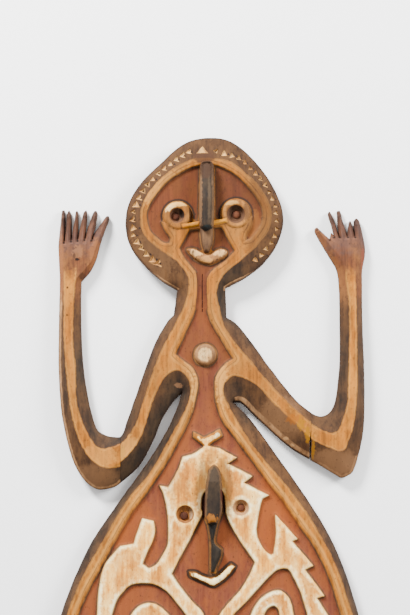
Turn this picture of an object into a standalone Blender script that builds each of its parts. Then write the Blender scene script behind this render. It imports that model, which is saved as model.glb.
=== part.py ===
"""Gope board: a carved and painted wooden spirit board in the shape of a figure with raised arms.

The board lies on its back. Z points out of the carved face, Y runs from the foot to the head and
X to the viewer's right; the origin is at the middle of its length and width, on the underside.
Lengths and outlines are in millimetres until a mesh is made. The relief is drawn in plan, as the
carver draws it on the plank: every line is an outline, and the height of the wood at any point
follows from how far it lies inside the outlines around it.

An outline is a list of stretches that meet end to end. A list of points is one smooth curve through
them, and a tuple of points is straight from corner to corner.
"""

import math

import bmesh
import bpy
import numpy as np
from mathutils import Vector
from mathutils.geometry import delaunay_2d_cdt, interpolate_bezier

MM = 0.001

# Driving dimensions: the plank, its flanks that slope to a thin edge, and the sunk fields
BOARD_LENGTH = 1290
BODY_WIDTH = 450
WIDEST_Y = -135
FACE_HEIGHT = 26
EDGE_HEIGHT = 14
HEAD_EDGE_HEIGHT = 20
HEAD_FROM_Y = 430
HEAD_BLEND = 20
FLANK_WIDTH = 12
BAND_WIDTH = 13
FIELD_HEIGHT = FACE_HEIGHT - 4
FIELD_BEVEL = 4

# Forearms: the saw cut at each elbow, and the thinning towards the fingertips
ELBOW_GAP = 0.3
LEFT_ELBOW_X = -118.5
RIGHT_ELBOW_X = 138
ELBOW_LOW_Y = 165
ELBOW_HIGH_Y = 285
FOREARM_PROFILE = ((280, 26), (450, 18), (546, 12))

# Raised and deep work, as heights above the back
NOSE_HEIGHT = 44
NOSE_TIP_HEIGHT = 35
NOSE_LOBE_HEIGHT = 31
EYE_RING_HEIGHT = 29.5
BOSS_HEIGHT = 29
LIP_HEIGHT = 28
SOCKET_HEIGHT = 18
SLIT_HEIGHT = 11
WALL_WIDTH = 1.2

# Round work, as centres and radii
HEAD_EYES = ((-42.5, 537), (37, 540.5))
HEAD_PUPILS = ((-44.5, 535.5), (37, 541))
EYE_RING_RADIUS = 21.5
SOCKET_RADIUS = 13
PUPIL_RADIUS = 7
BELLY_EYES = (((-31.5, 136), 12.5), ((43.5, 145), 11))
CHEST_BOSS = ((-4.5, 350.5), 15)
FOOT_BOSS = ((0, -574), 9)

# Chip-carved notches round the rim of the head
NOTCHES_PER_SIDE = 20
NOTCH_WIDTH = 9
NOTCH_RISE = 7.5
TOP_NOTCH = (-8, 628)
TOP_NOTCH_WIDTH = 17
TOP_NOTCH_RISE = 11
NOTCH_DEPTH = 3

# Fineness of the facets
FACET_ANGLE = math.radians(13)
CIRCLE_SIDES = 20
FOOT_STEPS = 9
SMALLEST_EDGE = 0.1


def foot_curve(margin):
    """The lower end of the body, from right to left: two parabolas that meet in a blunt point."""
    half_width = BODY_WIDTH / 2 - margin
    reach = BOARD_LENGTH / 2 + WIDEST_Y - 1.4 * margin
    shares = [step / FOOT_STEPS for step in range(FOOT_STEPS + 1)]
    right = [(half_width * (1 - share * share), WIDEST_Y - reach * share) for share in shares]
    left = [(-x, y) for x, y in reversed(right)]
    return [right, left]


RIGHT_ARM_EDGE = [
    [(24, 402), (38, 393), (59, 367), (81, 336), (115, 293), (137, 274), (149, 268), (158.5, 269.5),
     (166.5, 276.5), (172, 290), (176, 319.5), (178, 344), (178, 398), (177, 446.5), (173.5, 468),
     (162.5, 487), (145, 517.5), (144.5, 523), (147.5, 525)],
    ((147.5, 525), (154.5, 518), (164.5, 508.5), (166.5, 517.5), (170.5, 513.5)),
    [(170.5, 513.5), (167.5, 527.5), (163.5, 540.5), (165, 543), (168.5, 537), (178, 512.5)],
    [(178, 512.5), (176, 526), (175, 543.5)],
    [(175, 543.5), (178, 544.5), (182, 533), (189, 513.5)],
    [(189, 513.5), (190, 523.5), (192.5, 531), (195, 525), (199, 513.5)],
    [(199, 513.5), (198, 530), (201.5, 533), (204.5, 530.5), (209, 516), (212.5, 496.5), (211.5, 483),
     (208.5, 467), (208, 449.5), (208.5, 391), (210.5, 330.5), (210.5, 269.5), (208, 241.5),
     (203, 218.5), (195, 194), (187, 187.5), (179.5, 185), (173, 188.5), (149, 203), (137, 209.5),
     (110, 226), (61, 270), (44, 286), (33, 287)],
]

LEFT_ARM_EDGE = [
    [(-36, 300), (-47, 289), (-63, 264), (-74, 237), (-94, 201), (-118, 179), (-128, 172.5),
     (-149, 169.5), (-163.5, 178), (-177, 196), (-187, 221), (-196, 259), (-200, 288.5),
     (-202.5, 330.5), (-202.5, 384.5), (-201.5, 452), (-203.5, 498), (-202, 517), (-198, 545.5)],
    [(-198, 545.5), (-196, 526), (-196, 505.5)],
    [(-196, 505.5), (-193.5, 522), (-192.5, 539.5), (-189.5, 545.5), (-187, 538.5), (-186.5, 508)],
    [(-186.5, 508), (-181.5, 533), (-178, 544.5), (-177.5, 533), (-177.5, 509)],
    [(-177.5, 509), (-171.5, 534.5), (-167, 545.5), (-165.5, 538.5), (-168, 510)],
    [(-168, 510), (-160, 535.5), (-154, 545.5), (-151.5, 541), (-154, 526), (-158.5, 509)],
    [(-158.5, 509), (-153, 519.5), (-145, 531), (-137.5, 538), (-136, 534.5), (-141, 521.5),
     (-146.5, 503.5), (-152.5, 481.5), (-160.5, 465), (-172.5, 451)],
    [(-172.5, 451), (-173, 425), (-172, 371), (-169, 330.5), (-164.5, 301), (-158, 271),
     (-150, 249.5), (-138, 242), (-128, 240), (-118, 241), (-110, 261), (-86, 330), (-70, 371),
     (-55, 397)],
]

SILHOUETTE = [
    [(-42, 439), (-65, 453), (-86, 472), (-105, 497), (-112, 525), (-108, 555), (-91, 584),
     (-68, 607), (-33, 637), (-2, 645), (30, 640), (61, 615), (87, 579), (101, 540), (95, 506),
     (75, 476), (51, 457), (23, 442)],
    ((23, 442), (24, 402)),
    *RIGHT_ARM_EDGE,
    [(33, 287), (56, 264), (86, 223), (125, 168), (159, 114), (183, 61), (202, 0), (218, -68),
     (225, -135)],
    *foot_curve(0),
    [(-225, -135), (-218, -68), (-200, -4), (-182, 46), (-158, 97), (-119, 155), (-82, 206),
     (-56, 249), (-40, 285), (-36, 300)],
    *LEFT_ARM_EDGE,
    ((-55, 397), (-47, 405), (-42, 439)),
]

# The edge of the flat face: along the ochre bands, round the palms and up the middle of each finger
CREST = [
    [(-33, 414), (-27, 436), (-28, 456), (-38, 472), (-55, 486), (-71, 497), (-84, 509),
     (-91, 525), (-91, 544), (-84, 565), (-68, 585), (-43, 605), (-18, 617)],
    ((-18, 617), (6, 617)),
    [(6, 617), (30, 611), (52, 595), (68, 578), (80, 559), (85, 541), (81, 521), (66, 499),
     (44, 479), (21, 459), (11, 438), (13, 418)],
    [(13, 418), (24, 384), (57, 342), (93, 300), (137, 259), (153, 249), (167, 245), (174, 248),
     (180, 261), (186, 283), (188, 303), (189, 344), (190, 411), (189, 446), (182, 476),
     (170, 494)],
    ((170, 494), (149, 519), (172, 503), (172.5, 508), (166, 537), (175, 508), (181, 507),
     (177, 540), (184, 507), (192, 508), (192.5, 526), (194.5, 508), (202, 508), (201.5, 528),
     (204.5, 508)),
    [(204.5, 508), (206, 495), (203, 470), (199, 445), (200, 411), (200, 303), (195, 256),
     (188, 235), (183, 223), (174, 221), (164, 225), (145, 233), (137, 239), (117, 258),
     (87, 286), (67, 308), (49, 319), (33, 322), (22, 313), (20, 298), (33, 270), (63, 224),
     (110, 168), (142, 122), (170, 69), (193, 0), (207, -66), (213, -135)],
    *foot_curve(FLANK_WIDTH),
    [(-213, -135), (-206, -61), (-190, 0), (-164, 62), (-140, 103), (-109, 155), (-79, 191),
     (-48, 245), (-27, 287), (-24, 306), (-30, 323), (-44, 330), (-57, 322), (-70, 301),
     (-89, 245), (-101, 224), (-119, 206), (-136, 198), (-151, 204), (-167, 222), (-177, 245),
     (-185, 276), (-191, 330), (-193, 371), (-194, 438), (-197, 470), (-198.5, 500)],
    ((-198.5, 500), (-199, 537), (-197.5, 500), (-192, 500), (-190, 539), (-190, 501),
     (-183, 502), (-179, 539), (-181, 502), (-174, 502), (-167.5, 540), (-171, 502),
     (-165, 501), (-154, 540), (-161, 500), (-156, 498), (-139, 533), (-153, 496)),
    [(-153, 496), (-158, 480), (-168, 466), (-181, 450), (-183, 425), (-184, 371), (-180, 330),
     (-177, 286), (-169, 258), (-160, 240), (-151, 228), (-141, 224), (-129, 226), (-118, 230),
     (-101, 251), (-86, 291), (-73, 333), (-56, 371), (-33, 414)],
]

# Red fields, sunk below the bands
LEFT_CHEEK = [
    [(-6, 609), (-25, 604), (-42, 595), (-59, 582), (-75, 563), (-83, 546), (-84, 533),
     (-79, 518), (-69, 507), (-60, 501), (-52, 501)],
    [(-52, 501), (-51, 509), (-57, 518), (-63, 530)],
    ((-63, 530), (-30, 524), (-6, 529), (-6, 609)),
]
RIGHT_CHEEK = [
    [(1, 610), (22, 603), (40, 592), (56, 576), (68, 560), (74, 544), (73, 529), (66, 516),
     (57, 506), (49, 504)],
    [(49, 504), (51, 513), (57, 524), (59, 537)],
    ((59, 537), (26, 532), (1, 526), (1, 610)),
]
LOWER_FACE = [
    ((-26, 520), (-40, 494)),
    [(-40, 494), (-34, 482), (-20, 465), (-12, 452)],
    ((-12, 452), (-4, 452)),
    [(-4, 452), (5, 463), (24, 478), (36, 491)],
    ((36, 491), (18, 524), (-26, 520)),
]
NECK_GROOVE = [
    [(-18, 466), (-16.5, 450), (-16, 433), (-18, 413)],
    ((-18, 413), (-1, 413)),
    [(-1, 413), (-2, 433), (-1.5, 450), (1, 466)],
    ((1, 466), (-18, 466)),
]
NECK_SLIT = [((-10, 452), (-10, 414), (-6.5, 414), (-6, 452), (-10, 452))]
CHEST_FIELD = [
    [(-15.5, 424), (-18, 413), (-25, 396), (-45, 351)],
    [(-45, 351), (-33, 341), (-23, 333), (-17, 324), (-15, 312), (-16, 301), (-20, 287)],
    ((-20, 287), (14, 287)),
    [(14, 287), (10, 297), (9, 310), (11, 322), (22, 336), (34, 345)],
    [(34, 345), (9, 387), (0, 407), (-2.5, 424)],
    ((-2.5, 424), (-15.5, 424)),
]
BODY_FIELD = [
    ((9, 306), (-15, 306)),
    [(-15, 306), (-18, 290), (-27, 263), (-51, 216), (-77, 175), (-101, 142), (-124, 104),
     (-145, 65), (-163, 32), (-176, 0), (-192, -61), (-200, -135)],
    *[list(reversed(curve)) for curve in reversed(foot_curve(FLANK_WIDTH + BAND_WIDTH))],
    [(200, -135), (194, -61), (179, 0), (164, 47), (146, 87), (132, 112), (107, 151), (85, 170),
     (65, 193), (35, 239), (20, 262), (11, 286), (9, 306)],
]
BELLY_FACE = [
    [(-7, 139), (-17, 119), (-50, 56)],
    [(-50, 56), (-36, 36), (-21, 18), (-7, 2), (-2, -34), (4, -80)],
    [(4, -80), (10, -34), (15, 0), (24, 13), (40, 31), (53, 50), (63, 72)],
    [(63, 72), (40, 105), (24, 136), (21, 163), (14, 170)],
    ((14, 170), (-5, 167)),
    [(-5, 167), (-9, 159), (-10, 141), (-7, 139)],
]
LEFT_ARC = [
    [(-130, 0), (-124, 20), (-116, 31), (-105, 41), (-90, 44), (-73, 43), (-58, 35), (-46, 23),
     (-34, 8), (-21, -12), (-14, -41), (-17, -88), (-30, -131), (-57, -158)],
    [(-57, -158), (-90, -156), (-114, -122), (-130, -68), (-134, -34), (-130, 0)],
]
RIGHT_ARC = [
    [(16, -41), (24, -12), (35, 4), (50, 19), (68, 39), (85, 57), (95, 63), (107, 63), (114, 52),
     (122, 36), (128, 19), (133, 0), (136, -34), (132, -81), (115, -126), (88, -156)],
    [(88, -156), (59, -158), (34, -131), (18, -88), (16, -41)],
]
RIGHT_LOOP_SLOT = [
    [(71, -34), (74, 0), (79, 10), (87, 14), (93, 10), (96, 0), (96, -34), (91, -64), (80, -72),
     (72, -61)],
]

# White motifs, left standing at the height of the face
BELLY_FIGURE = [
    [(-5, 227), (-20, 217), (-34, 213)],
    [(-34, 213), (-40, 197), (-48, 181), (-54, 172)],
    ((-54, 172), (-65, 174)),
    [(-65, 174), (-61, 166), (-57, 152), (-54, 128), (-54, 97), (-61, 82), (-69, 69), (-80, 63)],
    ((-80, 63), (-89, 69), (-87, 75)),
    [(-87, 75), (-82, 87), (-75, 101), (-72, 115), (-74, 127)],
    ((-74, 127), (-89, 130)),
    [(-89, 130), (-95, 113), (-100, 96)],
    ((-100, 96), (-118, 93)),
    [(-118, 93), (-128, 82), (-137, 71), (-143, 56), (-147, 31), (-149, 0), (-158, -60),
     (-162, -135), (-150, -215), (-118, -305), (-70, -392), (0, -480)],
    [(0, -480), (50, -418), (95, -348), (132, -275), (158, -205), (169, -147)],
    ((169, -147), (180, -141), (170, -99), (181, -95), (167, -57), (178, -52), (158, -16),
     (168, -12), (145, 24), (155, 27), (129, 62), (140, 67), (112, 100), (119, 103), (90, 135)),
    [(90, 135), (91, 114), (90, 98), (88, 83)],
    [(88, 83), (84, 81), (76, 87), (69, 97), (64, 112), (66, 131), (69, 146), (72, 157)],
    ((72, 157), (80, 161), (47, 178), (58, 187), (25, 204), (37, 212), (14, 224), (1, 227),
     (-5, 227)),
]
BROW_CHEVRON = [
    ((-20, 245.5), (-5.5, 238.5), (15, 249.5), (18, 241.5), (1, 230), (0.5, 222), (-5.5, 222),
     (-6.5, 229), (-20, 240), (-20, 245.5)),
]
FOOT_CHEVRON = [((-60, -470), (0, -535), (60, -470), (60, -484), (0, -549), (-60, -484), (-60, -470))]
LEFT_OVAL = [
    [(-114, -54), (-111, -21), (-104, 0), (-95, 11), (-84, 16), (-73, 16), (-61, 9), (-51, -2),
     (-41, -23), (-38, -54), (-44, -95), (-63, -123), (-82, -120), (-103, -93)],
]
RIGHT_LOOP = [
    [(43, -54), (47, -26), (57, 0), (63, 13), (74, 26), (88, 33), (99, 32), (109, 21), (114, 0),
     (117, -34), (111, -81), (91, -118), (67, -118), (49, -93)],
]

# Work that stands proud of the face
NOSE = [
    [(-11.5, 606), (-12, 524), (-6, 518), (0, 518), (7, 524), (7.5, 606)],
    [(7.5, 606), (4, 611.5), (-2.5, 612.5), (-9, 611), (-11.5, 606)],
]
NOSE_LOBE = [
    [(-12, 524), (-10, 502), (-6, 489)],
    ((-6, 489), (0.5, 489)),
    [(0.5, 489), (5.5, 502), (7, 524)],
    ((7, 524), (-12, 524)),
]
LEFT_BAR = [((-33, 526.5), (-11, 532), (-11, 525), (-31.5, 519), (-33, 526.5))]
RIGHT_BAR = [((-0.5, 531), (25, 536.5), (26.5, 530), (0, 523.5), (-0.5, 531))]
MOUTH = [
    [(-27, 492.5), (-18, 490), (-9.5, 486), (-2.5, 484.5), (5.5, 486.5), (12, 490.5), (19.5, 495)],
    [(19.5, 495), (25.5, 493), (25, 488), (12, 478.5), (-0.5, 475), (-11.5, 478), (-20, 483.5),
     (-27, 492.5)],
]
BELLY_NOSE = [
    [(-0.5, 195.5), (-3.5, 176.5), (-5, 155), (-5.5, 133.5)],
    ((-5.5, 133.5), (-1.5, 122.5), (12, 122.5)),
    [(12, 122.5), (17.5, 136), (19, 155), (18, 176.5), (15, 195.5), (7.5, 203), (-0.5, 195.5)],
]
BELLY_NOSE_TIP = [
    [(-2, 126), (1, 110), (2.5, 93), (2.5, 58)],
    ((2.5, 58), (8, 58)),
    [(8, 58), (13, 70), (17, 79.5), (18, 89)],
    [(18, 89), (8.5, 98.5), (10, 112), (13, 126)],
    ((13, 126), (-2, 126)),
]
BELLY_MOUTH = [
    [(-26.5, 59), (-18, 59), (-8.5, 54), (2.5, 51), (11.5, 54), (21, 62), (30.5, 70)],
    ((30.5, 70), (36.5, 65.5)),
    [(36.5, 65.5), (29.5, 56.5), (19.5, 47.5), (9, 40), (3.5, 40), (-9, 45.5), (-24.5, 52.5)],
    ((-24.5, 52.5), (-26.5, 59)),
]

# Slits beside the nose of the belly face, which leave it standing free
LEFT_SLIT = [[(-4, 167), (-9.5, 160), (-11, 131), (-8, 126), (-4, 130), (-4, 157)]]
RIGHT_SLIT = [[(15, 170), (20.5, 167), (25.5, 140), (22.5, 136), (18, 148), (15, 160)]]

# Middle lines of the rows of notches, from the top of the head downwards
LEFT_NOTCH_LINE = [(-25, 626), (-43, 616), (-65, 599), (-83, 579), (-97, 556), (-102, 532),
                   (-100, 511), (-90, 496), (-79, 483), (-67, 475)]
RIGHT_NOTCH_LINE = [(11, 626), (40, 618), (57, 603), (76, 582), (87, 560), (92, 540), (91, 519),
                    (84, 502), (75, 491), (64, 480)]


def smooth_curve(points):
    """Points along a curve through the given ones, closer together where it turns more."""
    knots = [Vector(point) for point in points]
    curve = []
    for i in range(len(knots) - 1):
        start, end = knots[i], knots[i + 1]
        before = knots[i - 1] if i > 0 else start
        after = knots[i + 2] if i + 2 < len(knots) else end
        chord = (end - start).length
        reach_in = chord / ((start - before).length + chord) / 3
        reach_out = chord / ((after - end).length + chord) / 3
        leave = (end - before) * reach_in
        arrive = (after - start) * reach_out
        turn = leave.angle(end - start) + arrive.angle(end - start)
        facets = max(1, math.ceil(turn / FACET_ANGLE))
        samples = interpolate_bezier(start, start + leave, end - arrive, end, facets + 1)
        curve += [tuple(sample) for sample in samples[:-1]]
    return curve + [tuple(knots[-1])]


def outline(stretches):
    """A closed loop of points from an outline's stretches."""
    if len(stretches) == 1 and isinstance(stretches[0], list):
        ring = stretches[0]
        overlap = ring[-2:] + ring + ring[:2]
        wrapped = smooth_curve(overlap)
        first = wrapped.index(tuple(Vector(ring[0])))
        last = len(wrapped) - 1 - wrapped[::-1].index(tuple(Vector(ring[0])))
        return wrapped[first:last]
    loop = []
    for stretch in stretches:
        points = smooth_curve(stretch) if isinstance(stretch, list) else list(stretch)
        if loop and math.dist(loop[-1], points[0]) < SMALLEST_EDGE:
            points = points[1:]
        loop += points
    if math.dist(loop[0], loop[-1]) < SMALLEST_EDGE:
        loop.pop()
    return loop


def circle(centre, radius):
    """A round outline."""
    turns = [2 * math.pi * side / CIRCLE_SIDES for side in range(CIRCLE_SIDES)]
    return [(centre[0] + radius * math.cos(turn), centre[1] + radius * math.sin(turn)) for turn in turns]


def inset(loop, distance):
    """The loop moved inwards by a distance, or outwards where it is negative, with mitred corners."""
    points = np.array(loop, dtype=float)
    run = np.roll(points, -1, axis=0) - points
    run /= np.linalg.norm(run, axis=1)[:, None]
    following = np.roll(points, -1, axis=0)
    area = np.sum(points[:, 0] * following[:, 1] - points[:, 1] * following[:, 0]) / 2
    inward = np.stack([-run[:, 1], run[:, 0]], axis=1) * math.copysign(1, area)
    mitre = inward + np.roll(inward, 1, axis=0)
    mitre /= np.linalg.norm(mitre, axis=1)[:, None]
    stretch = np.clip((mitre * inward).sum(axis=1), 0.4, 1)
    return [tuple(point) for point in points + mitre * (distance / stretch)[:, None]]


def depth_inside(points, loop):
    """Distance of each point from a closed loop, positive inside it and negative outside."""
    start = np.array(loop)
    end = np.roll(start, -1, axis=0)
    run = end - start
    offset = points[:, None, :] - start
    along = np.clip((offset * run).sum(axis=2) / (run * run).sum(axis=1), 0, 1)
    gap = np.linalg.norm(offset - along[..., None] * run, axis=2).min(axis=1)
    x, y = points[:, 0, None], points[:, 1, None]
    spans = (start[:, 1] > y) != (end[:, 1] > y)
    rise = np.where(run[:, 1] == 0, 1, run[:, 1])
    crossing = start[:, 0] + (y - start[:, 1]) * run[:, 0] / rise
    inside = (spans & (crossing > x)).sum(axis=1) % 2 == 1
    return np.where(inside, gap, -gap)


def notch(centre, width, rise):
    """A triangular notch with its point towards the top of the head."""
    x, y = centre
    return [(x - width / 2, y - rise * 0.45), (x, y + rise * 0.55), (x + width / 2, y - rise * 0.45)]


def rim_notches():
    """The notches in the rim: one row down each side and a larger one at the top."""
    notches = [notch(TOP_NOTCH, TOP_NOTCH_WIDTH, TOP_NOTCH_RISE)]
    for line in (LEFT_NOTCH_LINE, RIGHT_NOTCH_LINE):
        path = np.array(smooth_curve(line))
        travelled = np.concatenate([[0], np.cumsum(np.linalg.norm(np.diff(path, axis=0), axis=1))])
        for distance in np.linspace(0, travelled[-1], NOTCHES_PER_SIDE):
            centre = [np.interp(distance, travelled, path[:, axis]) for axis in (0, 1)]
            notches.append(notch(centre, NOTCH_WIDTH, NOTCH_RISE))
    return notches


def proud(height, rounding):
    """Heights inside the outline of raised work: a steep wall and a rounded top edge."""
    return ((0, FIELD_HEIGHT - 1), (WALL_WIDTH, height - rounding), (WALL_WIDTH + rounding, height))


def sunk(top, bottom, slope):
    """Heights inside the outline of a hollow: a sloping side and a flat bottom."""
    return ((0, top), (slope, bottom))


def carving_steps():
    """The carver's steps in order: cut or leave, the outline, and heights at distances inside it."""
    field = sunk(FACE_HEIGHT, FIELD_HEIGHT, FIELD_BEVEL)
    motif = ((1 - FIELD_BEVEL, FIELD_HEIGHT), (0, FACE_HEIGHT))
    socket = sunk(EYE_RING_HEIGHT, SOCKET_HEIGHT, 3)
    pupil = sunk(SOCKET_HEIGHT - 1, FACE_HEIGHT, 2)
    belly_socket = sunk(FACE_HEIGHT, SOCKET_HEIGHT, 3)
    belly_pupil = sunk(SOCKET_HEIGHT - 1, FIELD_HEIGHT, 2)
    slit = sunk(FACE_HEIGHT, SLIT_HEIGHT, 1)

    first_fields = (BODY_FIELD, CHEST_FIELD, NECK_GROOVE, LOWER_FACE, LEFT_CHEEK, RIGHT_CHEEK)
    steps = [("cut", outline(shape), field) for shape in first_fields]
    steps += [("leave", outline(shape), motif) for shape in (BELLY_FIGURE, BROW_CHEVRON, FOOT_CHEVRON)]
    steps += [("cut", outline(shape), field) for shape in (BELLY_FACE, LEFT_ARC, RIGHT_ARC)]
    steps += [("leave", outline(shape), motif) for shape in (LEFT_OVAL, RIGHT_LOOP)]
    steps += [("cut", outline(RIGHT_LOOP_SLOT), field)]
    steps += [("cut", outline(shape), slit) for shape in (NECK_SLIT, LEFT_SLIT, RIGHT_SLIT)]
    steps += [("leave", outline(shape), proud(NOSE_HEIGHT, 3)) for shape in (NOSE, BELLY_NOSE)]
    steps += [("leave", outline(BELLY_NOSE_TIP), proud(NOSE_TIP_HEIGHT, 2))]
    steps += [("leave", outline(NOSE_LOBE), proud(NOSE_LOBE_HEIGHT, 3))]
    steps += [("leave", circle(eye, EYE_RING_RADIUS), proud(EYE_RING_HEIGHT, 2)) for eye in HEAD_EYES]
    steps += [("leave", outline(shape), proud(EYE_RING_HEIGHT, 0.6)) for shape in (LEFT_BAR, RIGHT_BAR)]
    steps += [("cut", circle(eye, SOCKET_RADIUS), socket) for eye in HEAD_EYES]
    steps += [("leave", circle(centre, PUPIL_RADIUS), pupil) for centre in HEAD_PUPILS]
    steps += [("cut", circle(*eye), belly_socket) for eye in BELLY_EYES]
    steps += [("leave", circle(eye, radius / 2), belly_pupil) for eye, radius in BELLY_EYES]
    steps += [("leave", outline(shape), proud(LIP_HEIGHT, 1)) for shape in (MOUTH, BELLY_MOUTH)]
    steps += [("leave", circle(*CHEST_BOSS), proud(BOSS_HEIGHT, 3))]
    steps += [("leave", circle(*FOOT_BOSS), proud(FACE_HEIGHT, 2))]
    return steps


def blank_height(points, silhouette, crest):
    """Height of the shaped plank before the relief: flat face, flanks that slope to the edge."""
    x, y = points[:, 0], points[:, 1]
    arm_y, arm_height = zip(*FOREARM_PROFILE)
    forearm = (y > ELBOW_LOW_Y) & ((x < LEFT_ELBOW_X) | (x > RIGHT_ELBOW_X))
    face = np.where(forearm, np.interp(y, arm_y, arm_height), FACE_HEIGHT)
    edge = np.interp(y, (HEAD_FROM_Y, HEAD_FROM_Y + HEAD_BLEND), (EDGE_HEIGHT, HEAD_EDGE_HEIGHT))
    edge = np.where(forearm, face * EDGE_HEIGHT / FACE_HEIGHT, edge)
    from_edge = np.maximum(depth_inside(points, silhouette), 0)
    to_crest = np.maximum(-depth_inside(points, crest), 0)
    share = from_edge / np.maximum(from_edge + to_crest, SMALLEST_EDGE)
    return edge + (face - edge) * np.minimum(share, 1)


def carved_height(points, silhouette, crest, steps, notches):
    """Height of the finished carving at each point in plan."""
    height = blank_height(points, silhouette, crest)
    for action, loop, profile in steps:
        distances, levels = zip(*profile)
        depth = depth_inside(points, loop)
        level = np.interp(depth, distances, levels)
        choose = np.minimum if action == "cut" else np.maximum
        height = np.where(depth > distances[0], choose(height, level), height)
    for loop in notches:
        depth = depth_inside(points, loop)
        width = np.linalg.norm(np.subtract(loop[2], loop[0]))
        height -= NOTCH_DEPTH * np.clip(depth / (width * 0.25), 0, 1)
    return height


def plan_triangles(silhouette, crest, steps, notches, cuts):
    """The plan of the carving cut into triangles along every line of the relief."""
    loops = [silhouette, crest, *cuts, *notches]
    for action, loop, profile in steps:
        loops += [inset(loop, distance) if distance else loop for distance, level in profile]
    points, edges = [], []
    for loop in loops:
        first = len(points)
        points += [Vector(point) for point in loop]
        edges += [(first + i, first + (i + 1) % len(loop)) for i in range(len(loop))]
    points += [Vector(np.mean(loop, axis=0)) for loop in notches]
    found = delaunay_2d_cdt(points, edges, [], 0, SMALLEST_EDGE, False)
    plan = np.array([tuple(point) for point in found[0]])
    triangles = np.array([tuple(face) for face in found[2]])
    middles = plan[triangles].mean(axis=1)
    kept = depth_inside(middles, silhouette) > 0
    for cut in cuts:
        kept &= depth_inside(middles, cut) < 0
    return plan, triangles[kept]


def painted_wood(name, colour, roughness):
    """A plain wood finish."""
    material = bpy.data.materials.new(name)
    material.use_nodes = True
    shader = material.node_tree.nodes["Principled BSDF"]
    shader.inputs["Base Color"].default_value = (*colour, 1)
    shader.inputs["Roughness"].default_value = roughness
    shader.inputs["Metallic"].default_value = 0
    return material


def solid(name, plan, height, triangles, origin, material):
    """One piece: its carved face, walls straight down from the silhouette and a flat back."""
    bm = bmesh.new()
    used = np.unique(triangles)
    corners = {}
    for index in used:
        place = Vector((*plan[index], height[index])) - Vector((*origin, 0))
        corners[index] = bm.verts.new(place * MM)
    for triangle in triangles:
        bm.faces.new([corners[index] for index in triangle])
    rim = [edge for edge in bm.edges if edge.is_boundary]
    walls = bmesh.ops.extrude_edge_only(bm, edges=rim)["geom"]
    for element in walls:
        if isinstance(element, bmesh.types.BMVert):
            element.co.z = 0
    sole = [element for element in walls if isinstance(element, bmesh.types.BMEdge)]
    back = bmesh.ops.edgeloop_fill(bm, edges=[edge for edge in sole if edge.is_boundary])["faces"]
    bmesh.ops.triangulate(bm, faces=back)
    bmesh.ops.recalc_face_normals(bm, faces=bm.faces)
    mesh = bpy.data.meshes.new(name)
    bm.to_mesh(mesh)
    bm.free()
    mesh.materials.append(material)
    piece = bpy.data.objects.new(name, mesh)
    piece.location = (origin[0] * MM, origin[1] * MM, 0)
    bpy.context.collection.objects.link(piece)
    return piece


def elbow_cut(x):
    """The narrow gap across one elbow."""
    low, high = x - ELBOW_GAP / 2, x + ELBOW_GAP / 2
    return [(low, ELBOW_LOW_Y), (high, ELBOW_LOW_Y), (high, ELBOW_HIGH_Y), (low, ELBOW_HIGH_Y)]


def build():
    """The board and its two forearms."""
    silhouette = outline(SILHOUETTE)
    crest = outline(CREST)
    steps = carving_steps()
    notches = rim_notches()
    cuts = [elbow_cut(LEFT_ELBOW_X), elbow_cut(RIGHT_ELBOW_X)]
    plan, triangles = plan_triangles(silhouette, crest, steps, notches, cuts)
    height = carved_height(plan, silhouette, crest, steps, notches)
    x, y = plan[triangles].mean(axis=1).T
    left = (x < LEFT_ELBOW_X) & (y > ELBOW_LOW_Y)
    right = (x > RIGHT_ELBOW_X) & (y > ELBOW_LOW_Y)
    painted = painted_wood("painted_wood", (0.45, 0.22, 0.11), 0.75)
    bare = painted_wood("brown_wood", (0.25, 0.13, 0.08), 0.7)
    solid("board", plan, height, triangles[~left & ~right], (0, 0), painted)
    solid("left_forearm", plan, height, triangles[left], (LEFT_ELBOW_X, 220), bare)
    solid("right_forearm", plan, height, triangles[right], (RIGHT_ELBOW_X, 245), bare)


for item in list(bpy.data.objects):
    bpy.data.objects.remove(item)
build()
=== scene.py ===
import math

import bpy
import numpy as np
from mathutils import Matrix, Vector, noise
from mathutils.geometry import delaunay_2d_cdt, interpolate_bezier


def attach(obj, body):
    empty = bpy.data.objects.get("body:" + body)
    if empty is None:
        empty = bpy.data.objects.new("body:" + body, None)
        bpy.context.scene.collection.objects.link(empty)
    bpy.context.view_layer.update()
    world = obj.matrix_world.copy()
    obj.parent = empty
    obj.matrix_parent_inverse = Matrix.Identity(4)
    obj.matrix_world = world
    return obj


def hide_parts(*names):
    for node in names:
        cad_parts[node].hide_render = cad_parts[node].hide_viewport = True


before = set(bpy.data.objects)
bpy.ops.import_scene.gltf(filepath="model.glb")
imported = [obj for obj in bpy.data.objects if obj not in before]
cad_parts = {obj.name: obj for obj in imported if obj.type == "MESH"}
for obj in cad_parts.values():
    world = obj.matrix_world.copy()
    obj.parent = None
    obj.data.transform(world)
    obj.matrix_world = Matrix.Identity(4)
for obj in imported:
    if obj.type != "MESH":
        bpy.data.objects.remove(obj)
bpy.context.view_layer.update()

# The board: head, neck, upper arms and leaf-shaped body, hewn from one plank. The carver sloped the flanks
# to a thin edge, sank the red fields and left noses, eyes and mouths standing. It is smoked, then painted
# with red and yellow earth, white lime and soot. Outlines are in millimetres on the plank.

MM = 0.001
REACH = 14.0
FACE = 26.0
FLOOR = 22.0
SLIT = 20.0
SOCKET = 19.5
EDGE = 14.0
HEAD_EDGE = 20.0
HALF_WIDTH = 225.0
WIDEST_Y = -135.0
FOOT_Y = -645.0
LEFT_ELBOW = -118.5
RIGHT_ELBOW = 138.0
SAW_GAP = 0.3
STROKE = 2.0
SWAY_LENGTH = 21
TREMBLE_LENGTH = 7
TREMBLE_SHARE = 0.35
FAR = 60.0
WELD = 0.12
SHARP_ANGLE = math.radians(38)


def uneven(x, y, layer):
    """A smooth random value between about -0.7 and 0.7. Each layer is another pattern."""
    return noise.noise(Vector((x, y, layer)))


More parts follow.
